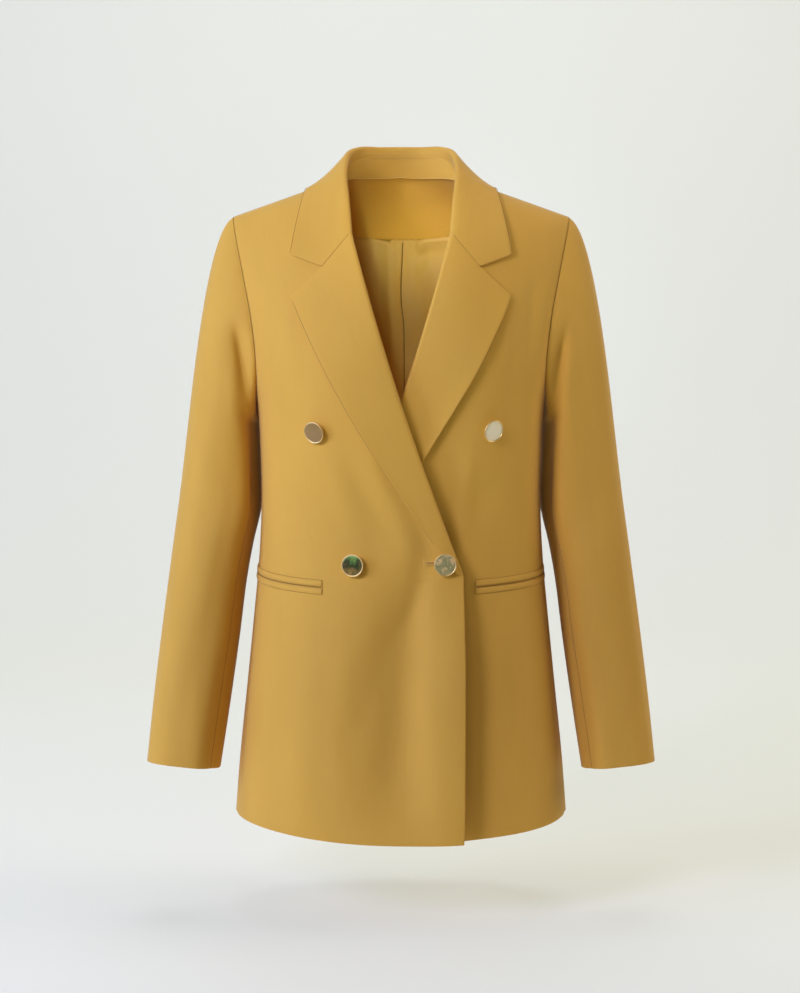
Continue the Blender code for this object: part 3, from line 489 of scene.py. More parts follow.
def on_both_sides(name, path, out, width=0.0006):
    sunk_line(f"{name}_left", path, out, width)
    sunk_line(f"{name}_right", path * MIRROR, out * MIRROR, width)


def body_seam(angle, z, creases=()):
    """Points and outward directions along a seam of the body."""
    drop = np.maximum(drop_to(angle, z), 0.0)
    return back_face(angle, drop, -0.0007, creases), body_normal(angle, drop)


SIDES = (("right", MIRROR), ("left", np.ones(3)))
# The centre back and shoulder seams are drawn as dark lines of painted shade in their ditches.
centre_z = np.linspace(hem(np.pi) + 0.002, -0.004, 90)
sunk_line("seam_centre_back", *body_seam(np.full(90, np.pi), centre_z, BACK_CREASES))
shoulder_x = np.linspace(0.090, 0.186, 30)
shoulder_angle = angle_at(shoulder_x, ridge(shoulder_x))
shoulder_line = body_raw(shoulder_angle, 0 * shoulder_x)
on_both_sides("seam_shoulder", shoulder_line - (0, 0, 0.0001), stacked(0 * shoulder_x, 0.0, 1.0))
for side, _ in SIDES:
    cut_cloth("twill", f"back_{side}", back_panel(), turned=True)

# ---- Side panels ----
# A narrow panel of the same twill under each arm, between the back seam and the front seam,
# that shapes the waist. Its top is the lowest part of the armhole.


def side_panel():
    v = np.linspace(0, 1, 72)[:, None]
    u = edged(20)[None, :]
    gap = SEAM_CLOSE / 2 / half_width(CHEST_Z)
    angle = mix(FRONT_SEAM + gap, BACK_SEAM - gap, u)
    top = body_raw(*armhole(armhole_turn(angle)))[..., 2]
    z = mix(hem(angle), top, v)
    return body(angle, drop_to(angle, z), -seam_dip(u, 0.095))


seam_top = float(body_raw(*armhole(armhole_turn(BACK_SEAM)))[2])
seam_z = np.linspace(hem(BACK_SEAM) + 0.002, seam_top, 90)
# The back side seams are drawn as dark lines of painted shade in their ditches.
on_both_sides("seam_side_back", *body_seam(np.full(90, BACK_SEAM), seam_z))
for side, _ in SIDES:
    cut_cloth("twill", f"side_{side}", side_panel())

# ---- Fronts ----
# Two fused fronts of the same twill, the right lapping over the left and buttoned to it. The
# left lies a little deeper where it runs under the right, and both drape from the button.
FRONT_EDGE_X = -0.0668
BREAK_Z = -0.428
GORGE_X, GORGE_Z = 0.0520, -0.0665
ROLL_BOW = 0.0063
LAPEL_ROLL, BREAK_ROLL, ROLL_RISE = 0.0038, 0.0029, 0.060
RECESS, RECESS_START, RECESS_LENGTH = 0.0140, 0.010, 0.095
UNDERLAP_LIFT, UNDER_HEM_BELLY = 0.0005, 0.0022
BREAK_SNIP = 0.0006
FRONT_FOLDS = (
    (-0.010, -0.470, 0.030, -0.690, 0.024, 0.0030),
    (0.020, -0.400, 0.095, -0.330, 0.018, 0.0018),
    (0.122, -0.190, 0.118, -0.310, 0.018, 0.0020),
    (0.095, -0.500, 0.110, -0.700, 0.022, -0.0022),
)
RIGHT_CREASES = (  # drag lines from the button, and the drape of the chest and the skirt
    (-0.070, -0.462, -0.070, -0.745, 0.040, -0.0105),
    (-0.010, -0.450, 0.000, -0.700, 0.030, 0.0080),
    (-0.030, -0.385, -0.008, -0.500, 0.013, 0.0042),
    (0.022, -0.300, -0.026, -0.392, 0.009, 0.0024),
    (0.020, -0.400, 0.060, -0.420, 0.020, 0.0012),
    (0.038, -0.299, -0.016, -0.376, 0.010, -0.0020),
    (0.058, -0.312, 0.004, -0.402, 0.011, 0.0022),
    (0.075, -0.330, 0.030, -0.420, 0.010, -0.0014),
    (0.000, -0.436, 0.052, -0.620, 0.018, 0.0026),
    (-0.022, -0.447, 0.012, -0.500, 0.007, 0.0012),
    (-0.030, -0.520, -0.036, -0.690, 0.014, -0.0013),
    (0.128, -0.110, 0.112, -0.250, 0.012, -0.0012),
    (0.102, -0.120, 0.098, -0.230, 0.010, 0.0008),
    (0.060, -0.480, 0.075, -0.690, 0.016, -0.0012),
    (0.128, -0.540, 0.136, -0.690, 0.012, 0.0012),
    (0.080, -0.405, 0.120, -0.395, 0.009, 0.0007),
)
LEFT_CREASES = (
    (0.075, -0.300, 0.072, -0.400, 0.008, -0.0030),
    (0.038, -0.310, 0.056, -0.392, 0.010, 0.0020),
    (0.146, -0.105, 0.140, -0.190, 0.008, 0.0024),
    (0.124, -0.150, 0.118, -0.240, 0.009, 0.0018),
    (0.072, -0.395, 0.116, -0.300, 0.011, 0.0016),
    (0.120, -0.100, 0.112, -0.220, 0.011, -0.0012),
    (0.142, -0.110, 0.134, -0.230, 0.010, 0.0010),
    (0.090, -0.480, 0.104, -0.690, 0.015, 0.0014),
    (0.124, -0.500, 0.132, -0.690, 0.012, -0.0010),
    (0.086, -0.110, 0.088, -0.180, 0.010, 0.0008),
)


def roll_x(z):
    """Visible edge of a front: its lap edge, then the roll line of the lapel."""
    t = held((z - BREAK_Z) / (GORGE_Z - BREAK_Z))
    return mix(FRONT_EDGE_X, GORGE_X, t) + ROLL_BOW * 4 * t * (1 - t)


def roll_radius(z):
    return mix(BREAK_ROLL, LAPEL_ROLL, smooth((z - BREAK_Z) / ROLL_RISE))


def edge_x(z):
    """Cut edge of a front: the lap edge, with a snip at the break, above which it lies inside the roll."""
    return roll_x(z) + roll_radius(z) * smooth((z - BREAK_Z) / BREAK_SNIP + 1)


def recess(x, z):
    """The left front lies deeper under the right one and rises slowly beside its edge."""
    past = x + roll_x(z)
    return RECESS * (1 - smooth((past - RECESS_START) / RECESS_LENGTH))


def front_face(angle, drop, under, out=0.0, creases=()):
    raw = body_raw(angle, drop)
    x, z = raw[..., 0], raw[..., 2]
    to_side = 1 - smooth((angle - FRONT_DRAPES) / DRAPE_FADE)
    push = fold_depth(FRONT_FOLDS + creases, x, z) * to_side * smooth(drop / 0.10)
    if under:
        push = push + recess(x, z)
    return body(angle, drop, out - push)


def front_at(x, z, under, out=0.0):
    return front_face(angle_at(x, z), np.maximum(ridge(x) - z, 0.0), under, out)


def front_out(x, z):
    """Straight out of a front's face."""
    return body_normal(angle_at(x, z), np.maximum(ridge(x) - z, 0.0))


def front_neckline(left):
    """x and z on a front's neck seam: left is 0 at the side neck point and 1 at the gorge."""
    x = edge_x(GORGE_Z)
    return mix(NECK_HALF, x, left**1.6), ridge(NECK_HALF) - (ridge(x) - GORGE_Z) * left**2


def front_inner(v, under):
    """Inner edge of a front; v is 0 at the hem, 1 at the break, 2 at the chest, 3 at the gorge and 4
    at the side neck point."""
    foot = hem(0.0) + (UNDERLAP_LIFT if under else 0.0)
    z = mix(foot, BREAK_Z, stretch(v, 0)) + (CHEST_Z - BREAK_Z) * stretch(v, 1)
    z = z + (GORGE_Z - CHEST_Z) * stretch(v, 2)
    neck_x, neck_z = front_neckline(1 - stretch(v, 3))
    return np.where(v > 3, neck_x, edge_x(z)), np.where(v > 3, neck_z, z)


def front_panel(under):
    low = np.append(np.linspace(0, 1, 34)[:-1], 1 - BREAK_SNIP / (BREAK_Z - hem(0.0)))
    v = np.concatenate([low, np.linspace(1, 3, 46)[:-1], np.linspace(3, 4, 18)])[:, None]
    u = edged(62)[None, :]
    x_in, z_in = front_inner(v, under)
    angle_in = angle_at(x_in, z_in)
    angle_out, z_out = panel_outer(v, FRONT_SEAM, 1.0, -SEAM_CLOSE / 2 / half_width(CHEST_Z))
    angle = mix(angle_in, angle_out, u)
    dip = hem(angle) - mix(hem(angle_in), hem(angle_out), u)
    z = mix(z_in, z_out, u) + dip * (1 - stretch(v / 2, 0))
    if under:
        z = z - UNDER_HEM_BELLY * np.sin(np.pi * u) * (1 - stretch(v / 2, 0))
    drop_in = ridge(x_in) - z_in
    drop_out = drop_to(angle_out, z_out)
    drop = drop_to(angle, z)
    drop = mix(drop, mix(drop_in, drop_out, u), smooth(stretch(v / 2, 1)))
    sunk = seam_dip(np.maximum(u, 0.5), 0.2)
    creases = LEFT_CREASES if under else RIGHT_CREASES
    points = front_face(angle, np.maximum(drop, 0.0), under, -sunk, creases)
    points[..., 1] = np.minimum(points[..., 1], SHOULDER_LINE_Y - SEAM_CLOSE)
    return points


for side, _ in SIDES:
    cut_cloth("twill", f"front_{side}", front_panel(side == "left"))

# ---- Pocket welts ----
# Two narrow lips of folded twill frame each slanted pocket mouth. They are sewn on round
# the mouth and nearly meet along it; the mouth and their outer edges are drawn as fine dark lines of painted
# shade.
POCKET_Z, POCKET_RISE = -0.4425, 0.0068
POCKET_START_X, POCKET_END = 0.0850, np.radians(97)
LIP_HEIGHT, LIP_GAP, LIP_LIFT = 0.0070, 0.0014, 0.0014
LIP_WALL = 0.0010
LIP_LENGTH, LIP_CROWN, LIP_SETTLE = 0.11, 0.0012, 0.0004


def pocket_lip(low_z, under):
    v = np.linspace(0, 1, 9)[:, None]
    u = np.linspace(0, 1, 70)[None, :]
    z = low_z + LIP_HEIGHT * v + POCKET_RISE * u
    angle = mix(angle_at(POCKET_START_X, low_z), POCKET_END, u)
    crown = LIP_CROWN * (np.sin(np.pi * v) ** 0.5 - 1)
    at_start = LIP_SETTLE * np.exp(-((u * LIP_LENGTH / 0.002) ** 2))
    return front_face(angle, drop_to(angle, z), under, LIP_LIFT + crown - at_start)


def from_body_axis(points):
    """Level directions out from the upright line through the middle of the shoulders."""
    return unit((points - (0.0, SHOULDER_LINE_Y, 0.0)) * (1.0, 1.0, 0.0))


for side, flip in SIDES:
    under = side == "left"
    mouth = pocket_lip(POCKET_Z - LIP_HEIGHT / 2, under)[4]
    mouth_out = from_body_axis(mouth)
    # The pocket mouth and the outline of each lip are dark lines of painted shade.
    sunk_line(f"pocket_mouth_{side}", (mouth - mouth_out * 0.0008) * flip, mouth_out * flip, 0.0011)
    for place, low_z in (("lower", POCKET_Z - LIP_GAP / 2 - LIP_HEIGHT), ("upper", POCKET_Z + LIP_GAP / 2)):
        lip = pocket_lip(low_z, under)
        up = lip if place == "upper" else lip[::-1]
        outline = np.concatenate([up[:, 0], up[-1]])
        sunk_line(f"seam_welt_{place}_{side}", outline * flip, from_body_axis(outline) * flip, 0.0005)
        cut_cloth(
            "twill", f"welt_{place}_{side}", lip,
            wall=LIP_WALL, soft_edge=0.0002,
        )

# ---- Lapels ----
# The facing of each front turns over the roll line as a notched lapel. It is fused, pressed
# flat at its edges and left soft at the roll, and is sewn to the front inside the edge.
LEAF_WALL = 0.0013
FOOT_DEPTH, LAPEL_FOOT = 0.0042, 0.018
LEAF_LIFT = 0.0028
BREAK_WIDTH = 0.0045
NOTCH_X, NOTCH_Z = 0.0836, -0.1005
GORGE_SHARE = 0.485  # of the lapel's top, from the roll to the notch
LAPEL_TIP_X, LAPEL_TIP_Z = 0.1158, -0.1310
LAPEL_BELLY = 0.0125
RIGHT_FLARE, LEFT_FLARE = 0.0030, 0.0046


def rolled(core, way, out, foot_way, radius, foot, leaf):
    """Rows of a turned leaf: its foot behind the roll, the round of the roll, then the leaf."""
    start = np.pi - np.arctan2(-dot(foot_way, out), dot(foot_way, way))
    behind = radius * (np.cos(start) * out - np.sin(start) * way)
    columns = [core + behind + foot_way * foot, core + behind + foot_way * foot * 0.5]
    for k in np.linspace(1, 0, 11):
        columns.append(core + radius * (np.cos(start * k) * out - np.sin(start * k) * way))
    return np.concatenate([np.stack(columns, -2), leaf], -2)


def gorge_edge(u, notch, tip_x, tip_z):
    """x and z along the end of a leaf, from its roll by way of the notch to its tip."""
    at = (0.0, notch, 1.0)
    return np.interp(u, at, (edge_x(GORGE_Z), NOTCH_X, tip_x)), np.interp(u, at, (GORGE_Z, NOTCH_Z, tip_z))


def lapel(under):
    v = np.linspace(0, 0.9995, 66)[:, None]
    u = np.linspace(0, 1, 27)[None, 1:]
    z = mix(BREAK_Z, GORGE_Z, v)
    x = edge_x(z)
    edge_v = mix(x[0] + BREAK_WIDTH, LAPEL_TIP_X, v) + LAPEL_BELLY * 4 * v * (1 - v)
    edge_z = mix(BREAK_Z + 0.001, LAPEL_TIP_Z, v)
    top_x, top_z = gorge_edge(u, GORGE_SHARE, LAPEL_TIP_X, LAPEL_TIP_Z)
    bend_x = top_x - mix(edge_x(GORGE_Z), LAPEL_TIP_X, u)
    bend_z = top_z - mix(GORGE_Z, LAPEL_TIP_Z, u)
    leaf_x = mix(x, edge_v, u) + bend_x * v**4
    leaf_z = mix(z, edge_z, u) + bend_z * v**4
    radius = roll_radius(z)
    core = front_at(x, z, under, radius - FOOT_DEPTH)[:, 0]
    out = front_out(x, z)[:, 0]
    along = unit(np.gradient(core, axis=0))
    way = unit(np.cross(along, out))
    way = way * np.sign(way[:, :1])
    swell = 0.0010 * np.sin(np.pi * u) * np.sin(np.pi * v) ** 0.7
    flare = LEFT_FLARE if under else RIGHT_FLARE
    swell = swell + flare * u**4 * smooth((v - 0.09) / 0.15) * smooth((1.1 - v) / 0.2)
    lift = mix(2 * radius - FOOT_DEPTH, LEAF_LIFT, smooth(u)) + swell
    leaf = front_at(leaf_x, leaf_z, under, lift)
    return rolled(core, way, out, way, radius, LAPEL_FOOT, leaf)


def painted_edge_light(name, leaf, under_it, flip=1.0):
    """Along a leaf's edge, a line of paler twill as a painted highlight, and a dark line on the cloth just
    under it as painted shade.
    """
    edge, across = leaf[:, -1], unit(leaf[:, -1] - leaf[:, -2])
    out = unit(np.cross(across, np.gradient(edge, axis=0)))
    out = out * np.sign(dot(out, np.array((0.0, -1.0, 0.2))))
    sunk_line(name, (edge - out * 0.0003) * flip, out * flip, material=HIGHLIGHT_TWILL)
    sunk_line(f"{name}_shade", under_it(edge + across * 0.0008) * flip, out * flip)


# A paler copy of the twill, for the painted highlight along the lapel and collar edges.
HIGHLIGHT_TWILL = twill_suiting("mustard_twill_painted_highlight", 1.18)
gorge_share = np.linspace(0.02, 1.0, 40)
gorge_x = mix(edge_x(GORGE_Z), NOTCH_X, gorge_share)
gorge_z = mix(GORGE_Z, NOTCH_Z, gorge_share)
gorge_lift = mix(2 * LAPEL_ROLL - FOOT_DEPTH, LEAF_LIFT, smooth(gorge_share * GORGE_SHARE)) - 0.0001
gorge_out = front_out(gorge_x, gorge_z)
for side, flip in SIDES:
    under = side == "left"
    gorge = front_at(gorge_x, gorge_z, under, gorge_lift)
    # The gorge seam is a dark line of painted shade.
    sunk_line(f"seam_gorge_{side}", gorge * flip, gorge_out * flip, 0.0007)
    leaf = lapel(under)
    # A painted highlight along the lapel's edge, and a line of painted shade under it.
    painted_edge_light(f"lapel_edge_{side}", leaf[7:], lambda p: front_at(p[:, 0], p[:, 2], under, 0.0003), flip)
    cut_cloth(
        "twill", f"lapel_{side}", leaf,
        wall=LEAF_WALL, soft_edge=0.0003,
    )

# ---- Collar ----
# A stand sewn to the neck seam and a fall that turns over it and meets the lapels at the
# gorge. Two rows of small stitches join stand and fall just under the roll.
COLLAR_TIP_X, COLLAR_TIP_Z = 0.1166, -0.0885
COLLAR_GORGE_SHARE = 0.55
COLLAR_FOOT, STAND_END = 0.0095, 0.58
COLLAR_FLARE = 0.0034
ROLL_STITCHED = 0.37  # of each half, from the centre back
BEHIND_SHOULDER = 36  # rows of each half of the fall
ROLL_ROWS = (  # share of the half collar, then x, y, z of the middle line of its roll
    (0.000, 0.0000, 0.0585, 0.0348),
    (0.167, 0.0235, 0.0565, 0.0345),
    (0.333, 0.0452, 0.0420, 0.0336),
    (0.500, 0.0588, 0.0160, 0.0256),
    (0.667, 0.0628, -0.0150, 0.0030),
    (0.833, 0.0590, -0.0450, -0.0290),
    (1.000, 0.0548, -0.0720, -0.0665),
)
EDGE_ROWS = (  # share, x of the fall's edge, root of its drop, below nought behind the shoulder
    (0.00, 0.0000, -0.205),
    (0.20, 0.0400, -0.175),
    (0.35, 0.0720, -0.127),
    (0.50, 0.0940, -0.056),
    (0.60, 0.1005, 0.015),
    (0.75, 0.1072, 0.125),
    (0.90, 0.1122, 0.212),
    (1.00, 0.1166, 0.2665),
)
roll_core = curve(ROLL_ROWS)
collar_edge = curve(EDGE_ROWS)


def settled(points, lift):
    """Points kept at least lift above the body."""
    x, y, z = points[..., 0], points[..., 1], points[..., 2]
    angle = angle_at(x, z)
    angle = np.where(y > SHOULDER_LINE_Y, np.pi - angle, angle)
    drop = np.maximum(ridge(x) - z, 0.0)
    normal = body_normal(angle, drop)
    height = dot(points - body_raw(angle, drop), normal)
    lift = np.asarray(lift)[..., None]
    higher = (height + lift + np.sqrt((height - lift) ** 2 + 0.0015**2)) / 2
    return points + normal * (higher - height)


def neck_seam(share):
    back = body(*neckline(held(2 * share)))
    front = front_at(*front_neckline(held(2 * share - 1)), False)
    return np.where(share[..., None] > 0.5, front, back)


def collar_frame(share):
    """The roll's middle line and directions over half the collar."""
    gorge_core = front_at(edge_x(GORGE_Z), GORGE_Z, False, LAPEL_ROLL - FOOT_DEPTH)
    to_gorge = smooth((share - 0.7) / 0.3)[..., None]

    def core_at(share):
        bend = smooth((share - 0.7) / 0.3)[..., None]
        return roll_core(share) + (gorge_core - roll_core(1.0)) * bend

    core = core_at(share)
    along = unit(core_at(share + 0.01) - core_at(share - 0.01))
    along[share < 0.005] = (1.0, 0.0, 0.0)
    x, root = np.moveaxis(collar_edge(share), -1, 0)
    angle = angle_at(x, ridge(x) - root**2)
    edge = body(np.where(root > 0, angle, np.pi - angle), root**2, LEAF_LIFT)
    notch = front_at(NOTCH_X, NOTCH_Z, False, LEAF_LIFT)
    aim = unit(mix(edge - core, notch - core, to_gorge))
    out = unit(np.cross(along, aim))
    way = unit(np.cross(out, along))
    seam = neck_seam(share)
    flat = smooth((share - 0.82) / 0.14)[..., None]
    reach = np.sqrt(dot(seam - core, seam - core))
    foot = mix(np.clip(reach - 0.001, 0.001, COLLAR_FOOT), COLLAR_FOOT, flat)
    foot_way = unit(mix((seam - core) / reach, way, flat))
    foot_way = unit(foot_way - along * dot(foot_way, along))
    return core, way, out, foot_way, foot, edge, seam


def both_halves(half):
    """A whole piece from its half, whose first row lies on the centre."""
    return np.concatenate([half[:0:-1] * MIRROR, half])


def collar_fall():
    share = np.linspace(0, 1, 60)
    core, way, out, foot_way, foot, edge, _ = collar_frame(share)
    start = core + out * LAPEL_ROLL
    u = np.linspace(0, 1, 25)[1:]
    end_x, end_z = gorge_edge(u, COLLAR_GORGE_SHARE, COLLAR_TIP_X, COLLAR_TIP_Z)
    end = front_at(end_x, end_z, False, mix(2 * LAPEL_ROLL - FOOT_DEPTH, LEAF_LIFT, smooth(u)))
    u = u[None, :, None]
    bend = smooth((share - 0.45) / 0.55)[:, None, None] ** 2
    leaf = mix(start[:, None], edge[:, None], u) + bend * (end - mix(start[-1], edge[-1], u[0]))
    flare = COLLAR_FLARE * smooth((share[:, None] - 0.74) / 0.2)
    leaf = settled(leaf, LEAF_LIFT + flare * u[..., 0] ** 5)
    return both_halves(rolled(core, way, out, foot_way, LAPEL_ROLL, foot, leaf))


def stand_rows(share):
    core, way, out, foot_way, foot, _, seam = collar_frame(share)
    start = np.pi - np.arctan2(-dot(foot_way, out), dot(foot_way, way))
    inward = np.cos(start) * out - np.sin(start) * way
    top = core + inward * (LAPEL_ROLL - 0.00015) + foot_way * (foot - 0.0008)
    bottom = seam + inward * (SUITING_WALL + 0.0016) + foot_way * 0.0018
    return top, bottom, inward, foot_way


def collar_stand():
    top, bottom, _, _ = stand_rows(np.linspace(0, STAND_END, 40))
    u = np.linspace(0, 1, 10)[None, :, None]
    return both_halves(mix(top[:, None], bottom[:, None], u))


THREAD_DARK, THREAD_PALE = (0.738, 0.4674, 0.1148), (0.90, 0.57, 0.14)
THREAD_FINISH = {"Roughness": 0.7, "Specular_IOR_Level": 0.2}
MUSTARD_THREAD = line_material("mustard_thread", THREAD_DARK, THREAD_PALE, 900.0, **THREAD_FINISH)


def stitches(name, starts, ends, out, width):
    """One short raised stitch from each start to its end: a thread that dives in at both ends."""
    along = (ends - starts)[:, None]
    t = np.array((0.0, 0.2, 0.5, 0.8, 1.0))[:, None]
    swell = np.array((0.35, 0.9, 1.0, 0.9, 0.35))[:, None, None]
    middle = starts[:, None] + along * t + out[:, None] * width * (0.75 * np.sin(np.pi * t) - 0.15)
    round_it = spokes(unit(np.cross(out, along[:, 0])), out)[:, None] * width / 2 * swell
    return tubes_round(name, middle[:, :, None] + round_it, MUSTARD_THREAD)


def stand_stitching():
    """Starts, ends and outward directions of two rows of crossed stitches, each laid over a dark line of
    painted shade.
    """
    top, _, inward, foot_way = stand_rows(np.linspace(0, ROLL_STITCHED, 26))
    along = unit(np.gradient(top, axis=0))
    starts, ends = [], []
    for place, offset in (("upper", -0.0030), ("lower", 0.0014)):
        row = top + foot_way * offset + inward * 0.00005
        # A dark line of painted shade under each row of stitches.
        sunk_line(f"collar_stitch_painted_shade_{place}", both_halves(row - inward * 0.0001), both_halves(inward), 0.0009)
        for lean in (1.0, -1.0):
            middle = row + along * 0.0008 * (lean + 1)
            reach = along * 0.0004 - foot_way * 0.0007 * lean
            starts.append(middle - reach)
            ends.append(middle + reach)
    rows = np.concatenate(starts), np.concatenate(ends), np.tile(inward, (4, 1))
    return [np.concatenate([row, row * MIRROR]) for row in rows]


fall = collar_fall()
half = len(fall) // 2
# A painted highlight along each edge of the fall, and a line of painted shade under it.
for side, leaf in (("left", fall[half + BEHIND_SHOULDER :]), ("right", fall[: half - BEHIND_SHOULDER])):
    painted_edge_light(f"collar_edge_{side}", leaf, lambda p: settled(p[:, None], 0.0003)[:, 0])
cut_cloth(
    "twill", "collar_fall", fall,
    turned=True, wall=LEAF_WALL, soft_edge=0.0003,
)
collar_stitches = stitches("collar_stitching", *stand_stitching(), 0.00070)
_, stand_foot, stand_in, stand_down = stand_rows(np.linspace(0, STAND_END - 0.02, 40))
stand_line = both_halves(stand_foot + stand_down * 0.0005 - stand_in * 0.0002)
cut_cloth(
    "twill", "collar_stand", collar_stand(),
    wall=LEAF_WALL, soft_edge=0.0002,
)
sunk_line("stand_seam", stand_line, both_halves(stand_in), 0.0010, MUSTARD_THREAD)

# ---- Sleeves ----
# Two-piece sleeves, set in with a little fullness at the head. The top piece wraps the front
# and the outside of the arm, and the under piece lies between the forearm and elbow seams.
SLEEVE_ROWS = (  # height, outer x, inner x, y of the middle, half the depth
    (-0.6660, 0.2852, 0.2050, -0.0240, 0.0460),
    (-0.5800, 0.2769, 0.1923, -0.0085, 0.0510),
    (-0.5050, 0.2683, 0.1820, 0.0040, 0.0550),
    (-0.4400, 0.2600, 0.1738, 0.0120, 0.0580),
    (-0.4030, 0.2552, 0.1672, 0.0170, 0.0600),
    (-0.3580, 0.2495, 0.1570, 0.0255, 0.0622),
    (-0.3150, 0.2442, 0.1565, 0.0275, 0.0645),
    (-0.2700, 0.2385, 0.1588, 0.0260, 0.0660),
)
BICEPS_Z, CUFF_Z = -0.270, -0.6518
CUFF_TILT, CUFF_PITCH = 0.105, 0.12
SLEEVE_POWER = 2.5
FOREARM_SEAM, ELBOW_SEAM = np.radians(37), np.radians(298)
FOREARM_DRIFT = 0.30  # the forearm seam turns inward by this up to the armhole
HEAD_FULLNESS = 0.080
SLEEVE_FOLDS = (  # angle, share of the sleeve's rows at the start and the end, half the angle, depth
    (1.90, 0.34, 0.52, 0.34, 0.0024),
    (1.15, 0.66, 0.92, 0.30, 0.0022),
    (4.30, 0.42, 0.62, 0.40, 0.0028),
    (5.70, 0.50, 0.58, 0.50, 0.0020),
)
SLEEVE_CREASES = (  # as SLEEVE_FOLDS, with the angle it leans by over all the rows last
    (0.46, 0.42, 0.62, 0.40, 0.0060, -0.8),
    (1.30, 0.30, 0.52, 0.22, -0.0018, -1.0),
    (0.50, 0.56, 1.10, 0.26, 0.0034, 0.3),
    (1.12, 0.45, 1.10, 0.22, -0.0016, 0.5),
    (2.45, 0.18, 0.40, 0.16, -0.0008, 0.5),
    (1.55, 0.60, 0.80, 0.16, -0.0010, 0.5),
    (0.85, 0.84, 0.97, 0.20, 0.0016, 0.5),
    (1.45, 0.88, 0.98, 0.16, -0.0009, 0.5),
    (2.60, 0.70, 0.95, 0.20, 0.0008, 0.5),
    (0.60, 0.50, 0.62, 0.22, 0.0014, 0.5),
    (4.70, 0.56, 0.66, 0.22, -0.0012, 0.5),
    (5.20, 0.46, 0.54, 0.24, 0.0014, 0.5),
    (3.60, 0.60, 0.85, 0.22, 0.0010, 0.5),
)
SLEEVE_VALLEYS = (  # from the front of the armhole down the inside of the arm, given as BACK_FOLDS
    (0.1775, -0.166, 0.1612, -0.254, 0.0075, 0.0100),
)
sleeve_section = curve(SLEEVE_ROWS)


def sleeve_ring(phi, z):
    """A level round the sleeve: phi is 0 at its inner side and a quarter turn at its front."""
    outer, inner, middle_y, half_depth = np.moveaxis(sleeve_section(z), -1, 0)
    half = (outer - inner) / 2
    across = -np.sign(np.cos(phi)) * np.abs(np.cos(phi)) ** (2 / SLEEVE_POWER)
    ahead = -np.sign(np.sin(phi)) * np.abs(np.sin(phi)) ** (2 / SLEEVE_POWER)
    x = (outer + inner) / 2 + half * across
    pitch = CUFF_PITCH * smooth((BICEPS_Z - z) / (BICEPS_Z - CUFF_Z))
    level = z + CUFF_TILT * half * across - pitch * half_depth * ahead
    return stacked(x, middle_y + half_depth * ahead, level)


def sleeve_fold(phi, row):
    total = np.zeros(np.broadcast(phi, row).shape)
    folds = [(*fold, 0.5) for fold in SLEEVE_FOLDS] + list(SLEEVE_CREASES)
    for angle, start, end, half_angle, depth, lean in folds:
        middle = angle + lean * (row - (start + end) / 2)
        off = (np.mod(phi - middle + np.pi, 2 * np.pi) - np.pi) / half_angle
        run = (2 * row - start - end) / (end - start)
        total = total + depth * np.exp(-(off**2)) * smooth(1.5 - np.abs(run))
    return total


def sleeve_surface(phi, v):
    """v is 0 at the armhole, 1 at the biceps and 2 at the cuff."""
    phi, v = np.broadcast_arrays(phi, v)
    turn = np.where(phi <= np.pi, phi / np.pi, phi / np.pi - 2)
    outer_share = ((1 - np.cos(phi)) / 2)[..., None]
    outward = np.array((0.94, 0.0, -0.34))
    downward = np.array((0.15, 0.0, -0.99))
    forward = np.array((0.0, 0.25, 0.0)) * np.sin(phi)[..., None] ** 3
    start_way = unit(mix(downward, outward, outer_share) - forward)
    seam = body(*armhole(turn), -0.0006) - start_way * 0.0004
    biceps = sleeve_ring(phi, np.full(phi.shape, BICEPS_Z))
    below = sleeve_ring(phi, np.full(phi.shape, BICEPS_Z - 0.02))
    chord = np.sqrt(dot(biceps - seam, biceps - seam))
    leave = start_way * mix(0.8 * chord, HEAD_FULLNESS, outer_share)
    arrive = unit(below - biceps) * chord * 1.15
    t = held(v)[..., None]
    cap = seam * (1 + 2 * t) * (1 - t) ** 2 + leave * t * (1 - t) ** 2
    cap = cap + biceps * (3 - 2 * t) * t**2 - arrive * (1 - t) * t**2
    arm = sleeve_ring(phi, mix(BICEPS_Z, CUFF_Z, held(v - 1)))
    points = np.where(v[..., None] > 1, arm, cap)
    middle = sleeve_ring(np.array((0.0, np.pi)), np.array((BICEPS_Z, BICEPS_Z))).mean(0)
    level = points[..., 2]
    arm_middle = (sleeve_ring(0 * phi, level) + sleeve_ring(0 * phi + np.pi, level)) / 2
    axis = np.where(v[..., None] > 1, arm_middle, middle)
    inward = (axis - points) * np.array((1.0, 1.0, 0.0))
    valley = fold_depth(SLEEVE_VALLEYS, points[..., 0], points[..., 2])
    valley = valley * smooth(3 * np.sin(phi)) * smooth((phi - FOREARM_SEAM) / 0.5) * smooth(v / 0.16)
    return points + unit(inward) * (sleeve_fold(phi, v / 2) + valley)[..., None]


def sleeve_piece(start, end, columns):
    gap = SEAM_CLOSE / 0.05
    u = np.linspace(0, 1, columns)[None, :]
    v = np.concatenate([(0.0, 0.012, 0.028), np.linspace(0.055, 1, 30), np.linspace(1, 2, 56)[1:]])[:, None]
    forearm = u if end == FOREARM_SEAM else 1 - u
    phi = mix(start + gap, end - gap, u) - FOREARM_DRIFT * smooth(1 - v) * forearm
    return sleeve_surface(np.mod(phi, 2 * np.pi), v)


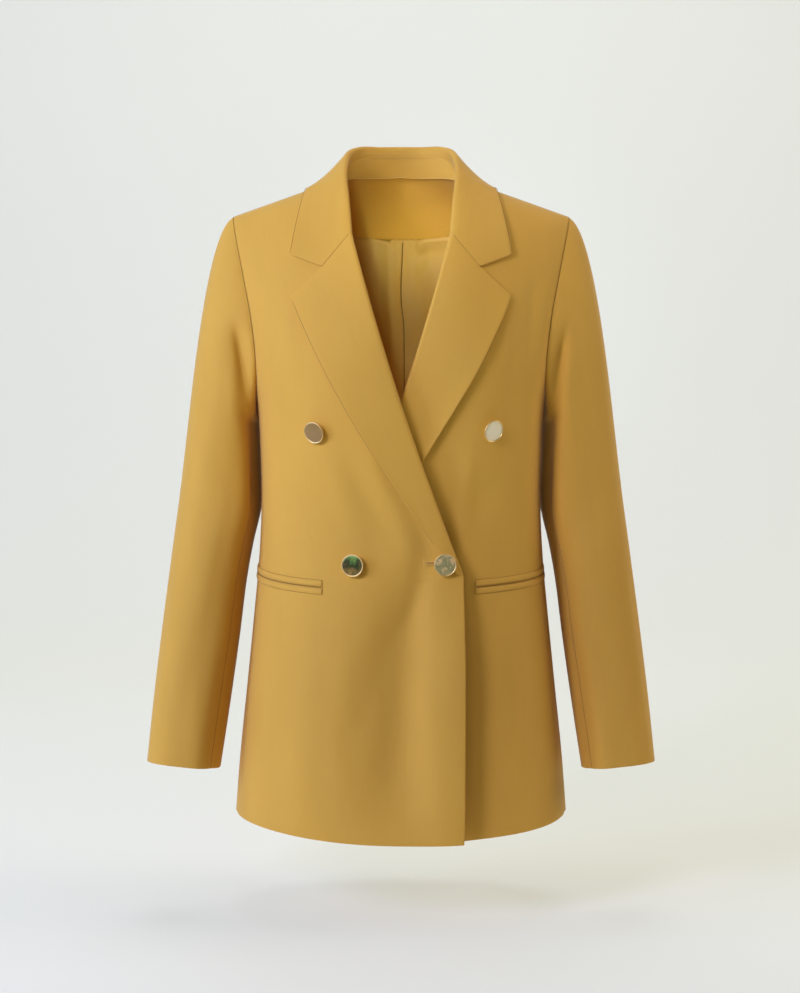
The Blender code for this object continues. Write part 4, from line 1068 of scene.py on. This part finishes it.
# The forearm, elbow and armhole seams are drawn as dark lines of painted shade in their ditches.
for name, seam, first in (("seam_forearm", FOREARM_SEAM, 1.15), ("seam_elbow", ELBOW_SEAM, 0.02)):
    sleeve_rows = np.linspace(first, 1.995, 110)
    line = sleeve_surface(np.full(110, seam), sleeve_rows)
    inner = sleeve_surface(np.full(110, seam) + np.pi, sleeve_rows)
    on_both_sides(name, line, unit((line - inner) * np.array((1.0, 1.0, 0.0))))
turns = np.linspace(-0.995, 0.995, 150)
on_both_sides("seam_armhole", body(*armhole(turns), -0.0002), body_normal(*armhole(turns)))
for side, _ in SIDES:
    top = sleeve_piece(FOREARM_SEAM, ELBOW_SEAM, 76)
    cut_cloth("twill", f"sleeve_top_{side}", top, turned=True)
    under = sleeve_piece(ELBOW_SEAM - 2 * np.pi, FOREARM_SEAM, 30)
    cut_cloth("twill", f"sleeve_under_{side}", under, turned=True)

# ---- Back neck facing ----
# A curved facing of the jacket's twill covers the inside of the back neck, between the
# stand and the lining, and runs out along both shoulder seams. Its twill is a paler copy: painted light for
# the shaded inside.
INSIDE_LIE = 0.0046
FACING_Z, FACING_SIDE_RISE, FACING_HALF = -0.0620, 0.011, 0.098
THIN_WALL = 0.0010


def back_neck_facing():
    neck = 0.625
    u = np.linspace(0, 1, 40)[:, None]
    v = np.linspace(0, 1, 24)[None, :]
    neck_angle, neck_drop = neckline(held(u / neck))
    beyond = held((u - neck) / (1 - neck))
    shoulder_x = mix(NECK_HALF, FACING_HALF, beyond)
    top_angle = np.where(u > neck, np.pi - angle_at(shoulder_x, ridge(shoulder_x)), neck_angle)
    top_drop = np.where(u > neck, 0.0, neck_drop)
    low_x = FACING_HALF * u
    low_z = FACING_Z + FACING_SIDE_RISE * u**2
    low_drop = ridge(low_x) - low_z
    angle = mix(top_angle, np.pi - angle_at(low_x, low_z), v)
    drop = top_drop + (low_drop - top_drop) * v**1.6
    at_stand = (1 - smooth(2 * v)) * (1 - beyond)
    points = body(angle, drop, -mix(INSIDE_LIE, SUITING_WALL + 0.0004, at_stand))
    points[..., 1] = np.maximum(points[..., 1], SHOULDER_LINE_Y + SEAM_CLOSE)
    return both_halves(points)


# The facing's twill is 1.42 times paler than the outside's: painted light for the shaded inside.
cut_cloth(
    "twill", "back_neck_facing", back_neck_facing(),
    wall=THIN_WALL, soft_edge=0.0002, material=twill_suiting("mustard_twill_painted_light_inside", 1.42),
)

# ---- Lining ----
# Satin lining of the back, sewn to the facing with a little ease and folded into a pleat at
# the centre back, which lets the back move. It hangs free and is caught down above the hem.
LINING_HEM_RISE = 0.022
PLEAT_WIDTH, PLEAT_STEP = 0.0090, 0.0030
LINING_FOLDS = (  # as on the back panels, but each one raised toward the inside
    (0.020, -0.064, 0.026, -0.076, 0.0040, 0.0026),
    (0.020, -0.090, 0.038, -0.070, 0.0060, -0.0026),
    (0.030, -0.092, 0.024, -0.160, 0.0080, 0.0030),
    (0.011, -0.080, 0.014, -0.112, 0.0055, -0.0022),
    (0.036, -0.066, 0.042, -0.100, 0.0060, 0.0020),
    (0.012, -0.125, 0.014, -0.200, 0.0070, 0.0016),
    (-0.014, -0.080, -0.010, -0.190, 0.0080, 0.0028),
    (-0.024, -0.110, -0.018, -0.200, 0.0080, -0.0020),
    (-0.034, -0.070, -0.032, -0.150, 0.0090, 0.0024),
)


def pleat_path():
    """Across the back: x and depth of the lining, folded in a Z at the centre back."""
    bottom = INSIDE_LIE
    middle = bottom + 2 * PLEAT_STEP
    top = middle + PLEAT_STEP
    path = [(x, mix(bottom, top, smooth((x + 0.034) / 0.024))) for x in np.linspace(-0.034, -PLEAT_WIDTH, 12)]
    path += [(x, top) for x in np.linspace(-0.0075, -0.0012, 4)]
    for k in np.linspace(0, np.pi, 9):
        path.append((PLEAT_STEP / 2 * np.sin(k), (top + middle) / 2 + PLEAT_STEP / 2 * np.cos(k)))
    path += [(x, middle) for x in np.linspace(-0.0015, -0.0078, 4)]
    for k in np.linspace(0, np.pi, 10):
        path.append((-PLEAT_WIDTH - PLEAT_STEP * np.sin(k), (middle + bottom) / 2 + PLEAT_STEP * np.cos(k)))
    path += [(x, bottom) for x in np.linspace(-0.0070, 0.034, 22)]
    return path


def pleat_sway(z):
    return 0.0021 * np.exp(-(((z + 0.122) / 0.032) ** 2)) - 0.0016 * smooth((-0.135 - z) / 0.03)


def lining_back():
    side = np.radians(np.linspace(116, 164, 34))
    levels = np.concatenate([np.linspace(0, 0.72, 34), np.linspace(0.735, 1, 40)])[:, None]
    path = np.array(pleat_path())
    x = np.concatenate([-np.sin(side), path[:, 0], np.sin(side[::-1])])[None, :]
    flat = np.abs(x) > 0.05
    depth = np.concatenate([np.full(34, INSIDE_LIE), path[:, 1], np.full(34, INSIDE_LIE)])[None, :]
    share = np.abs(x) / FACING_HALF * np.where(flat, half_width(FACING_Z), 1.0)
    top = FACING_Z - 0.0003 + FACING_SIDE_RISE * np.clip(share, 0.0, 1.2) ** 2
    z = mix(hem(np.pi) + LINING_HEM_RISE, top, levels)
    reach = np.where(flat, x * half_width(z), x - pleat_sway(z))
    angle = np.pi - np.arcsin(np.clip(reach / half_width(z), -1.0, 1.0))
    below = top - z
    ease = 0.0010 * np.sin(reach * 1050 + 1.9 * np.sin(reach * 210)) * np.exp(-below / 0.009)
    drape = 0.0016 * np.sin(reach * 118 + 9.0 * below + 0.6) * smooth(below / 0.02)
    drape = (np.abs(drape) + drape) * 0.6 * smooth((np.abs(reach) - 0.045) / 0.02)
    inward = ease + drape + 1.5 * fold_depth(LINING_FOLDS, reach, z)
    return back_face(angle, ridge(reach) - z, -depth - np.maximum(inward, -0.0022))


def satin_lining():
    """Satin in the jacket's mustard, set paler as painted light for the shaded inside: smooth, with fine
    upright yarns and soft patches of painted lustre.
    """
    material, tree, shader = shader_material("mustard_satin")
    along = on_threads(tree)
    yarn = noise(tree, along, 700.0, (1.0, 0.05, 1.0))
    painted_lustre = noise(tree, along, 14.0, (1.0, 0.35, 1.0))
    # Paler than the twill: the lining's own mustard lifted as painted light, with patches of painted lustre.
    base = between(tree, (0.840, 0.490, 0.080), (0.900, 0.545, 0.105), yarn)
    wired(shader, Base_Color=between(tree, base, (0.920, 0.585, 0.125), painted_lustre), Roughness=0.55)
    wired(shader, Specular_IOR_Level=0.35, Sheen_Weight=0.12, Normal=relief(tree, yarn, 0.2, 0.00004))
    return material


# A dark line just beside the pleat's folded edge: the fold's painted shadow.
pleat_z = np.linspace(-0.330, FACING_Z - 0.002, 70)
pleat_x = 0.0021 - pleat_sway(pleat_z)
pleat_angle = np.pi - np.arcsin(pleat_x / half_width(pleat_z))
pleat_line = back_face(pleat_angle, ridge(pleat_x) - pleat_z, -INSIDE_LIE - 0.0017)
sunk_line("pleat_painted_shadow", pleat_line, -body_normal(pleat_angle, ridge(pleat_x) - pleat_z), 0.0010)
cut_cloth(
    "satin", "lining_back", lining_back(),
    soft_edge=0, wall=THIN_WALL, material=satin_lining(),
)

# ---- Buttons ----
# Four shank buttons: a pale gilt cup with a rim round a lacquered inlay, whose colour bands differ
# from button to button and are painted reflections. The lower one at the lap is fastened, and the others are
# for show.
BUTTON_RADIUS, BUTTON_RIM, BUTTON_HEIGHT, BUTTON_THICK = 0.0121, 0.0010, 0.0062, 0.0024
SHANK_RADIUS = 0.0034
BUTTON_STAND_OFF = 0.0005
BUTTON_SIDES = 64
GREY_REFLECTION = (0.29, 0.165, 0.053), (0.31, 0.183, 0.058), (0.27, 0.165, 0.042)
WHITE_REFLECTION = (0.97, 0.83, 0.55), (0.98, 0.86, 0.58), (0.98, 0.84, 0.56)
DARK_REFLECTION = (0.36, 0.21, 0.045), (0.02, 0.03, 0.006), (0.20, 0.35, 0.06)
SAND_REFLECTION = (0.74, 0.50, 0.20), (0.24, 0.24, 0.085), (0.58, 0.44, 0.19)
BUTTON_ROWS = (  # place, x, z, painted reflection colours from low to high, how cloudy, how far it turns out and sags
    ("upper_right", -0.0902, -0.2745, GREY_REFLECTION, 0.10, 0.16, 0.20),
    ("upper_left", 0.0966, -0.2734, WHITE_REFLECTION, 0.10, 0.16, 0.18),
    ("lower_right", -0.0506, -0.4173, DARK_REFLECTION, 0.36, 0.10, 0.06),
    ("lower_left", 0.0466, -0.4165, SAND_REFLECTION, 0.90, 0.06, 0.08),
)


def gilt():
    """Pale gold plating with faint polishing marks."""
    material, tree, shader = shader_material("pale_gilt")
    marks = noise(tree, on_object(tree), 420.0)
    plating = between(tree, (0.88, 0.62, 0.22), (0.94, 0.72, 0.34), marks)
    wired(shader, Base_Color=plating, Roughness=spread(tree, marks, 0.38, 0.52), Metallic=1.0)
    return material


def painted_reflection_inlay(name, colours, cloudy):
    """An inlay under lacquer whose bands of colour, from its low edge to its high one and clouded, are
    painted reflections.
    """
    material, tree, shader = shader_material(name)
    on_button = on_object(tree)
    height = new_node(tree, "SeparateXYZ", Vector=on_button).outputs["Y"]
    height = new_node(tree, "MapRange", Value=height, From_Min=-BUTTON_RADIUS, From_Max=BUTTON_RADIUS)
    cloud = noise(tree, on_button, 150.0, (1.0, 0.8, 1.0), 5.0)
    cloud = new_node(tree, "MapRange", Value=cloud, From_Min=0.30, From_Max=0.70)
    level = new_node(tree, "Mix", A=height.outputs["Result"], B=cloud.outputs["Result"], Factor=cloudy)
    bands = new_node(tree, "ValToRGB", Fac=level.outputs["Result"])
    bands.color_ramp.elements.new(0.5)
    for band, place, colour in zip(bands.color_ramp.elements, (0.18, 0.50, 0.80), colours):
        band.position = place
        band.color = (*colour, 1.0)
    wired(shader, Base_Color=bands.outputs["Color"], Roughness=0.38, Specular_IOR_Level=0.25)
    wired(shader, Coat_Weight=0.12, Coat_Roughness=0.12)
    return material


def button_profile():
    """Radius and height from the middle of the inlay over the rim and down to the shank's foot, and how
    many of its points are on the inlay."""
    face, back = BUTTON_HEIGHT - 0.0004, BUTTON_HEIGHT - BUTTON_THICK
    bed = BUTTON_RADIUS - BUTTON_RIM
    inlay = [(r, face - 0.0003 * (r / bed) ** 2) for r in np.linspace(0, bed - 0.0004, 9)]
    rim = [(bed - 0.0003, face - 0.0004), (bed - 0.0001, face - 0.0001)]
    for k in np.linspace(np.pi, 0, 9):
        rim.append((bed + BUTTON_RIM / 2 * (1 + np.cos(k)), BUTTON_HEIGHT - 0.0005 * (1 - np.sin(k))))
    cup = [(BUTTON_RADIUS - 0.0003, mix(back, face, 0.5)), (BUTTON_RADIUS - 0.0012, back)]
    shank = [(SHANK_RADIUS + 0.0006, back), (SHANK_RADIUS, back - 0.0005), (SHANK_RADIUS * 0.7, -0.0006)]
    return inlay + rim + cup + shank, len(inlay)


PALE_GILT = gilt()
profile, inlay_rows = button_profile()
radius, height = np.array(profile[1:]).T[:, :, None]
around = 2 * np.pi * np.arange(BUTTON_SIDES) / BUTTON_SIDES
rings = stacked(radius * np.cos(around), radius * np.sin(around), height)
button_points = np.append(rings, (0.0, 0.0, profile[0][1]))
middle = rings.size // 3
button_faces = [(middle, k - 1 if k else BUTTON_SIDES - 1, k) for k in range(BUTTON_SIDES)]
button_faces += quads(len(rings), BUTTON_SIDES, True)[:, ::-1].tolist()
button_faces.append(list(range(middle - 1, middle - 1 - BUTTON_SIDES, -1)))
for place, x, z, colours, cloudy, turn_out, droop in BUTTON_ROWS:
    inlay = painted_reflection_inlay(f"painted_reflection_button_{place}", colours, cloudy)
    button = modelled(f"gilt_button_{place}", button_points, button_faces, PALE_GILT, inlay)
    for face in button.data.polygons[: BUTTON_SIDES * (inlay_rows - 1)]:
        face.material_index = 1
    under = place == "upper_left"
    flip = np.array((1.0 if under else -1.0, 1.0, 1.0))
    spot = front_at(x * flip[0], z, under)
    out = front_out(x * flip[0], z)
    sagged = unit(out + (turn_out, 0.0, -droop))
    button.location = Vector((spot + out * BUTTON_STAND_OFF) * flip)
    button.rotation_euler = Vector(sagged * flip).to_track_quat("Z", "Y").to_euler()
    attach(button, "root")
    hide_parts(f"button_{place}")

# ---- Buttonhole ----
# A keyhole buttonhole on the right front, closed with buttonhole stitch in matching thread.
# The fastened button stands over its far end.
HOLE_START_X, HOLE_END_X, HOLE_Z = 0.0262, 0.0440, -0.4148

hole_x = -np.linspace(HOLE_START_X, HOLE_END_X, 20)
slit = front_at(hole_x, HOLE_Z, False, 0.0001)
slit_out = front_out(hole_x, HOLE_Z)
lips = [front_at(hole_x, HOLE_Z + rise, False, 0.0001) for rise in (-0.0005, 0.0005, -0.0020, 0.0020)]
bar_x, bar_z = 0.0004 - HOLE_START_X, HOLE_Z + np.linspace(-0.0034, 0.0034, 5)
bar, bar_end = (front_at(np.full(5, x), bar_z, False, 0.0001) for x in (bar_x, bar_x + 0.0026))
rows = (*lips[:2], bar), (*lips[2:], bar_end), (slit_out, slit_out, slit_out[[0] * 5])
stitches("buttonhole_stitching", *(np.concatenate(row) * MIRROR for row in rows), 0.00075)
# The slit is a dark line of painted shade.
sunk_line("buttonhole_slit_painted_shade", slit * MIRROR, slit_out * MIRROR, 0.0010)

# ---- Room ----
# A pale seamless floor that sweeps up behind the jacket. Three soft lights stand on the left and one
# on the right, one hangs over the jacket and one over the floor behind it. In front, one wide beam
# takes in the jacket and two narrow ones reach into the neck.
FLOOR_Z, FLOOR_FRONT_Y, FLOOR_HALF = -0.821, -0.55, 4.0
SWEEP_START_Y, SWEEP_RADIUS, SWEEP_TOP_Z = 1.6, 1.2, 3.4

sweep_path = [(FLOOR_FRONT_Y, FLOOR_Z)]
for k in np.linspace(0, np.pi / 2, 16):
    sweep_path.append((SWEEP_START_Y + SWEEP_RADIUS * np.sin(k), FLOOR_Z + SWEEP_RADIUS * (1 - np.cos(k))))
sweep_path.append((SWEEP_START_Y + SWEEP_RADIUS, SWEEP_TOP_Z))
sweep_rows = np.array([[(x, y, z) for y, z in sweep_path] for x in (FLOOR_HALF, -FLOOR_HALF)])
paper, tree, shader = shader_material("glowing_paper")
grain = noise(tree, on_object(tree), 3.0)
wired(shader, Base_Color=between(tree, (0.415, 0.420, 0.412), (0.425, 0.430, 0.422), grain), Roughness=0.9)
# The paper glows a little: painted light that keeps it pale, lifts the jacket's shadow on it and lights the
# jacket softly from below and behind.
wired(shader, Emission_Color=(0.98, 0.985, 0.80, 1.0), Emission_Strength=0.434)
modelled("pale_sweep", sweep_rows, quads(2, len(sweep_path)).tolist(), paper)


def hung_light(name, spot, aim, size, power, colour=(1.0, 1.0, 1.0), cone=0):
    """A round lamp aimed at a point; one with a cone, in degrees, throws a beam."""
    lamp = bpy.data.lights.new(name, "SPOT" if cone else "AREA")
    lamp.energy = power
    lamp.color = colour
    if cone:
        lamp.shadow_soft_size = size
        lamp.spot_size = np.radians(cone)
        lamp.spot_blend = 1.0
    else:
        lamp.shape = "DISK"
        lamp.size = size
    light = placed(name, lamp)
    light.location = spot
    light.rotation_euler = (Vector(aim) - Vector(spot)).to_track_quat("-Z", "Y").to_euler()


MIDDLE = (0.0, 0.0, -0.35)
for name, azimuth, height, reach, size, aim, power, colour, cone in (
    ("key", -38, 25, 3.0, 0.9, MIDDLE, 38.5, (0.99, 1.0, 1.56), 0),
    ("side light", -65, 10, 3.0, 0.9, MIDDLE, 26.0, (0.78, 1.0, 1.78), 0),
    ("rim light", -82, 30, 3.0, 0.9, MIDDLE, 9.0, (0.70, 1.0, 1.45), 0),
    ("right light", 88, 25, 3.0, 1.6, MIDDLE, 31.0, (1.10, 1.0, 0.94), 0),
    ("overhead", 180, 88, 2.75, 1.4, MIDDLE, 13.0, (1.0, 0.98, 0.92), 0),
    ("front light", -15, 7, 2.6, 0.35, (0.0, 0.0, 0.06), 24.5, (1.06, 0.97, 0.68), 46),
    ("neck light", -3, 8, 2.6, 0.35, (0.0, 0.05, -0.08), 310.0, (0.86, 1.0, 1.00), 8),
    ("collar light", -6, 8, 2.6, 0.05, (0.01, 0.05, -0.055), 108.0, (0.88, 1.0, 0.95), 3.6),
):
    around, up = np.radians((azimuth, height))
    way = np.array((np.sin(around) * np.cos(up), -np.cos(around) * np.cos(up), np.sin(up)))
    hung_light(name, MIDDLE + way * reach, aim, size, power, colour, cone)
hung_light("backdrop light", (0.0, 0.9, 1.9), (0.0, 2.8, 0.2), 1.6, 23.5)

world = bpy.data.worlds.new("studio")
world.use_nodes = True
wired(world.node_tree.nodes["Background"], Color=(0.96, 0.98, 1.0, 1.0), Strength=0.01)
bpy.context.scene.world = world
bpy.context.scene.view_settings.view_transform = "Standard"

camera_data = bpy.data.cameras.new("camera")
camera_data.sensor_width = 36.0
camera_data.lens = 74.45
camera = placed("camera", camera_data)
camera_aim = Vector((-0.00112, 0.0, -0.3534))
camera_height = np.radians(5.0)
camera.location = camera_aim + 2.3 * Vector((0.0, -np.cos(camera_height), np.sin(camera_height)))
camera.rotation_euler = (np.pi / 2 - camera_height, 0.0, 0.0)
bpy.context.scene.camera = camera
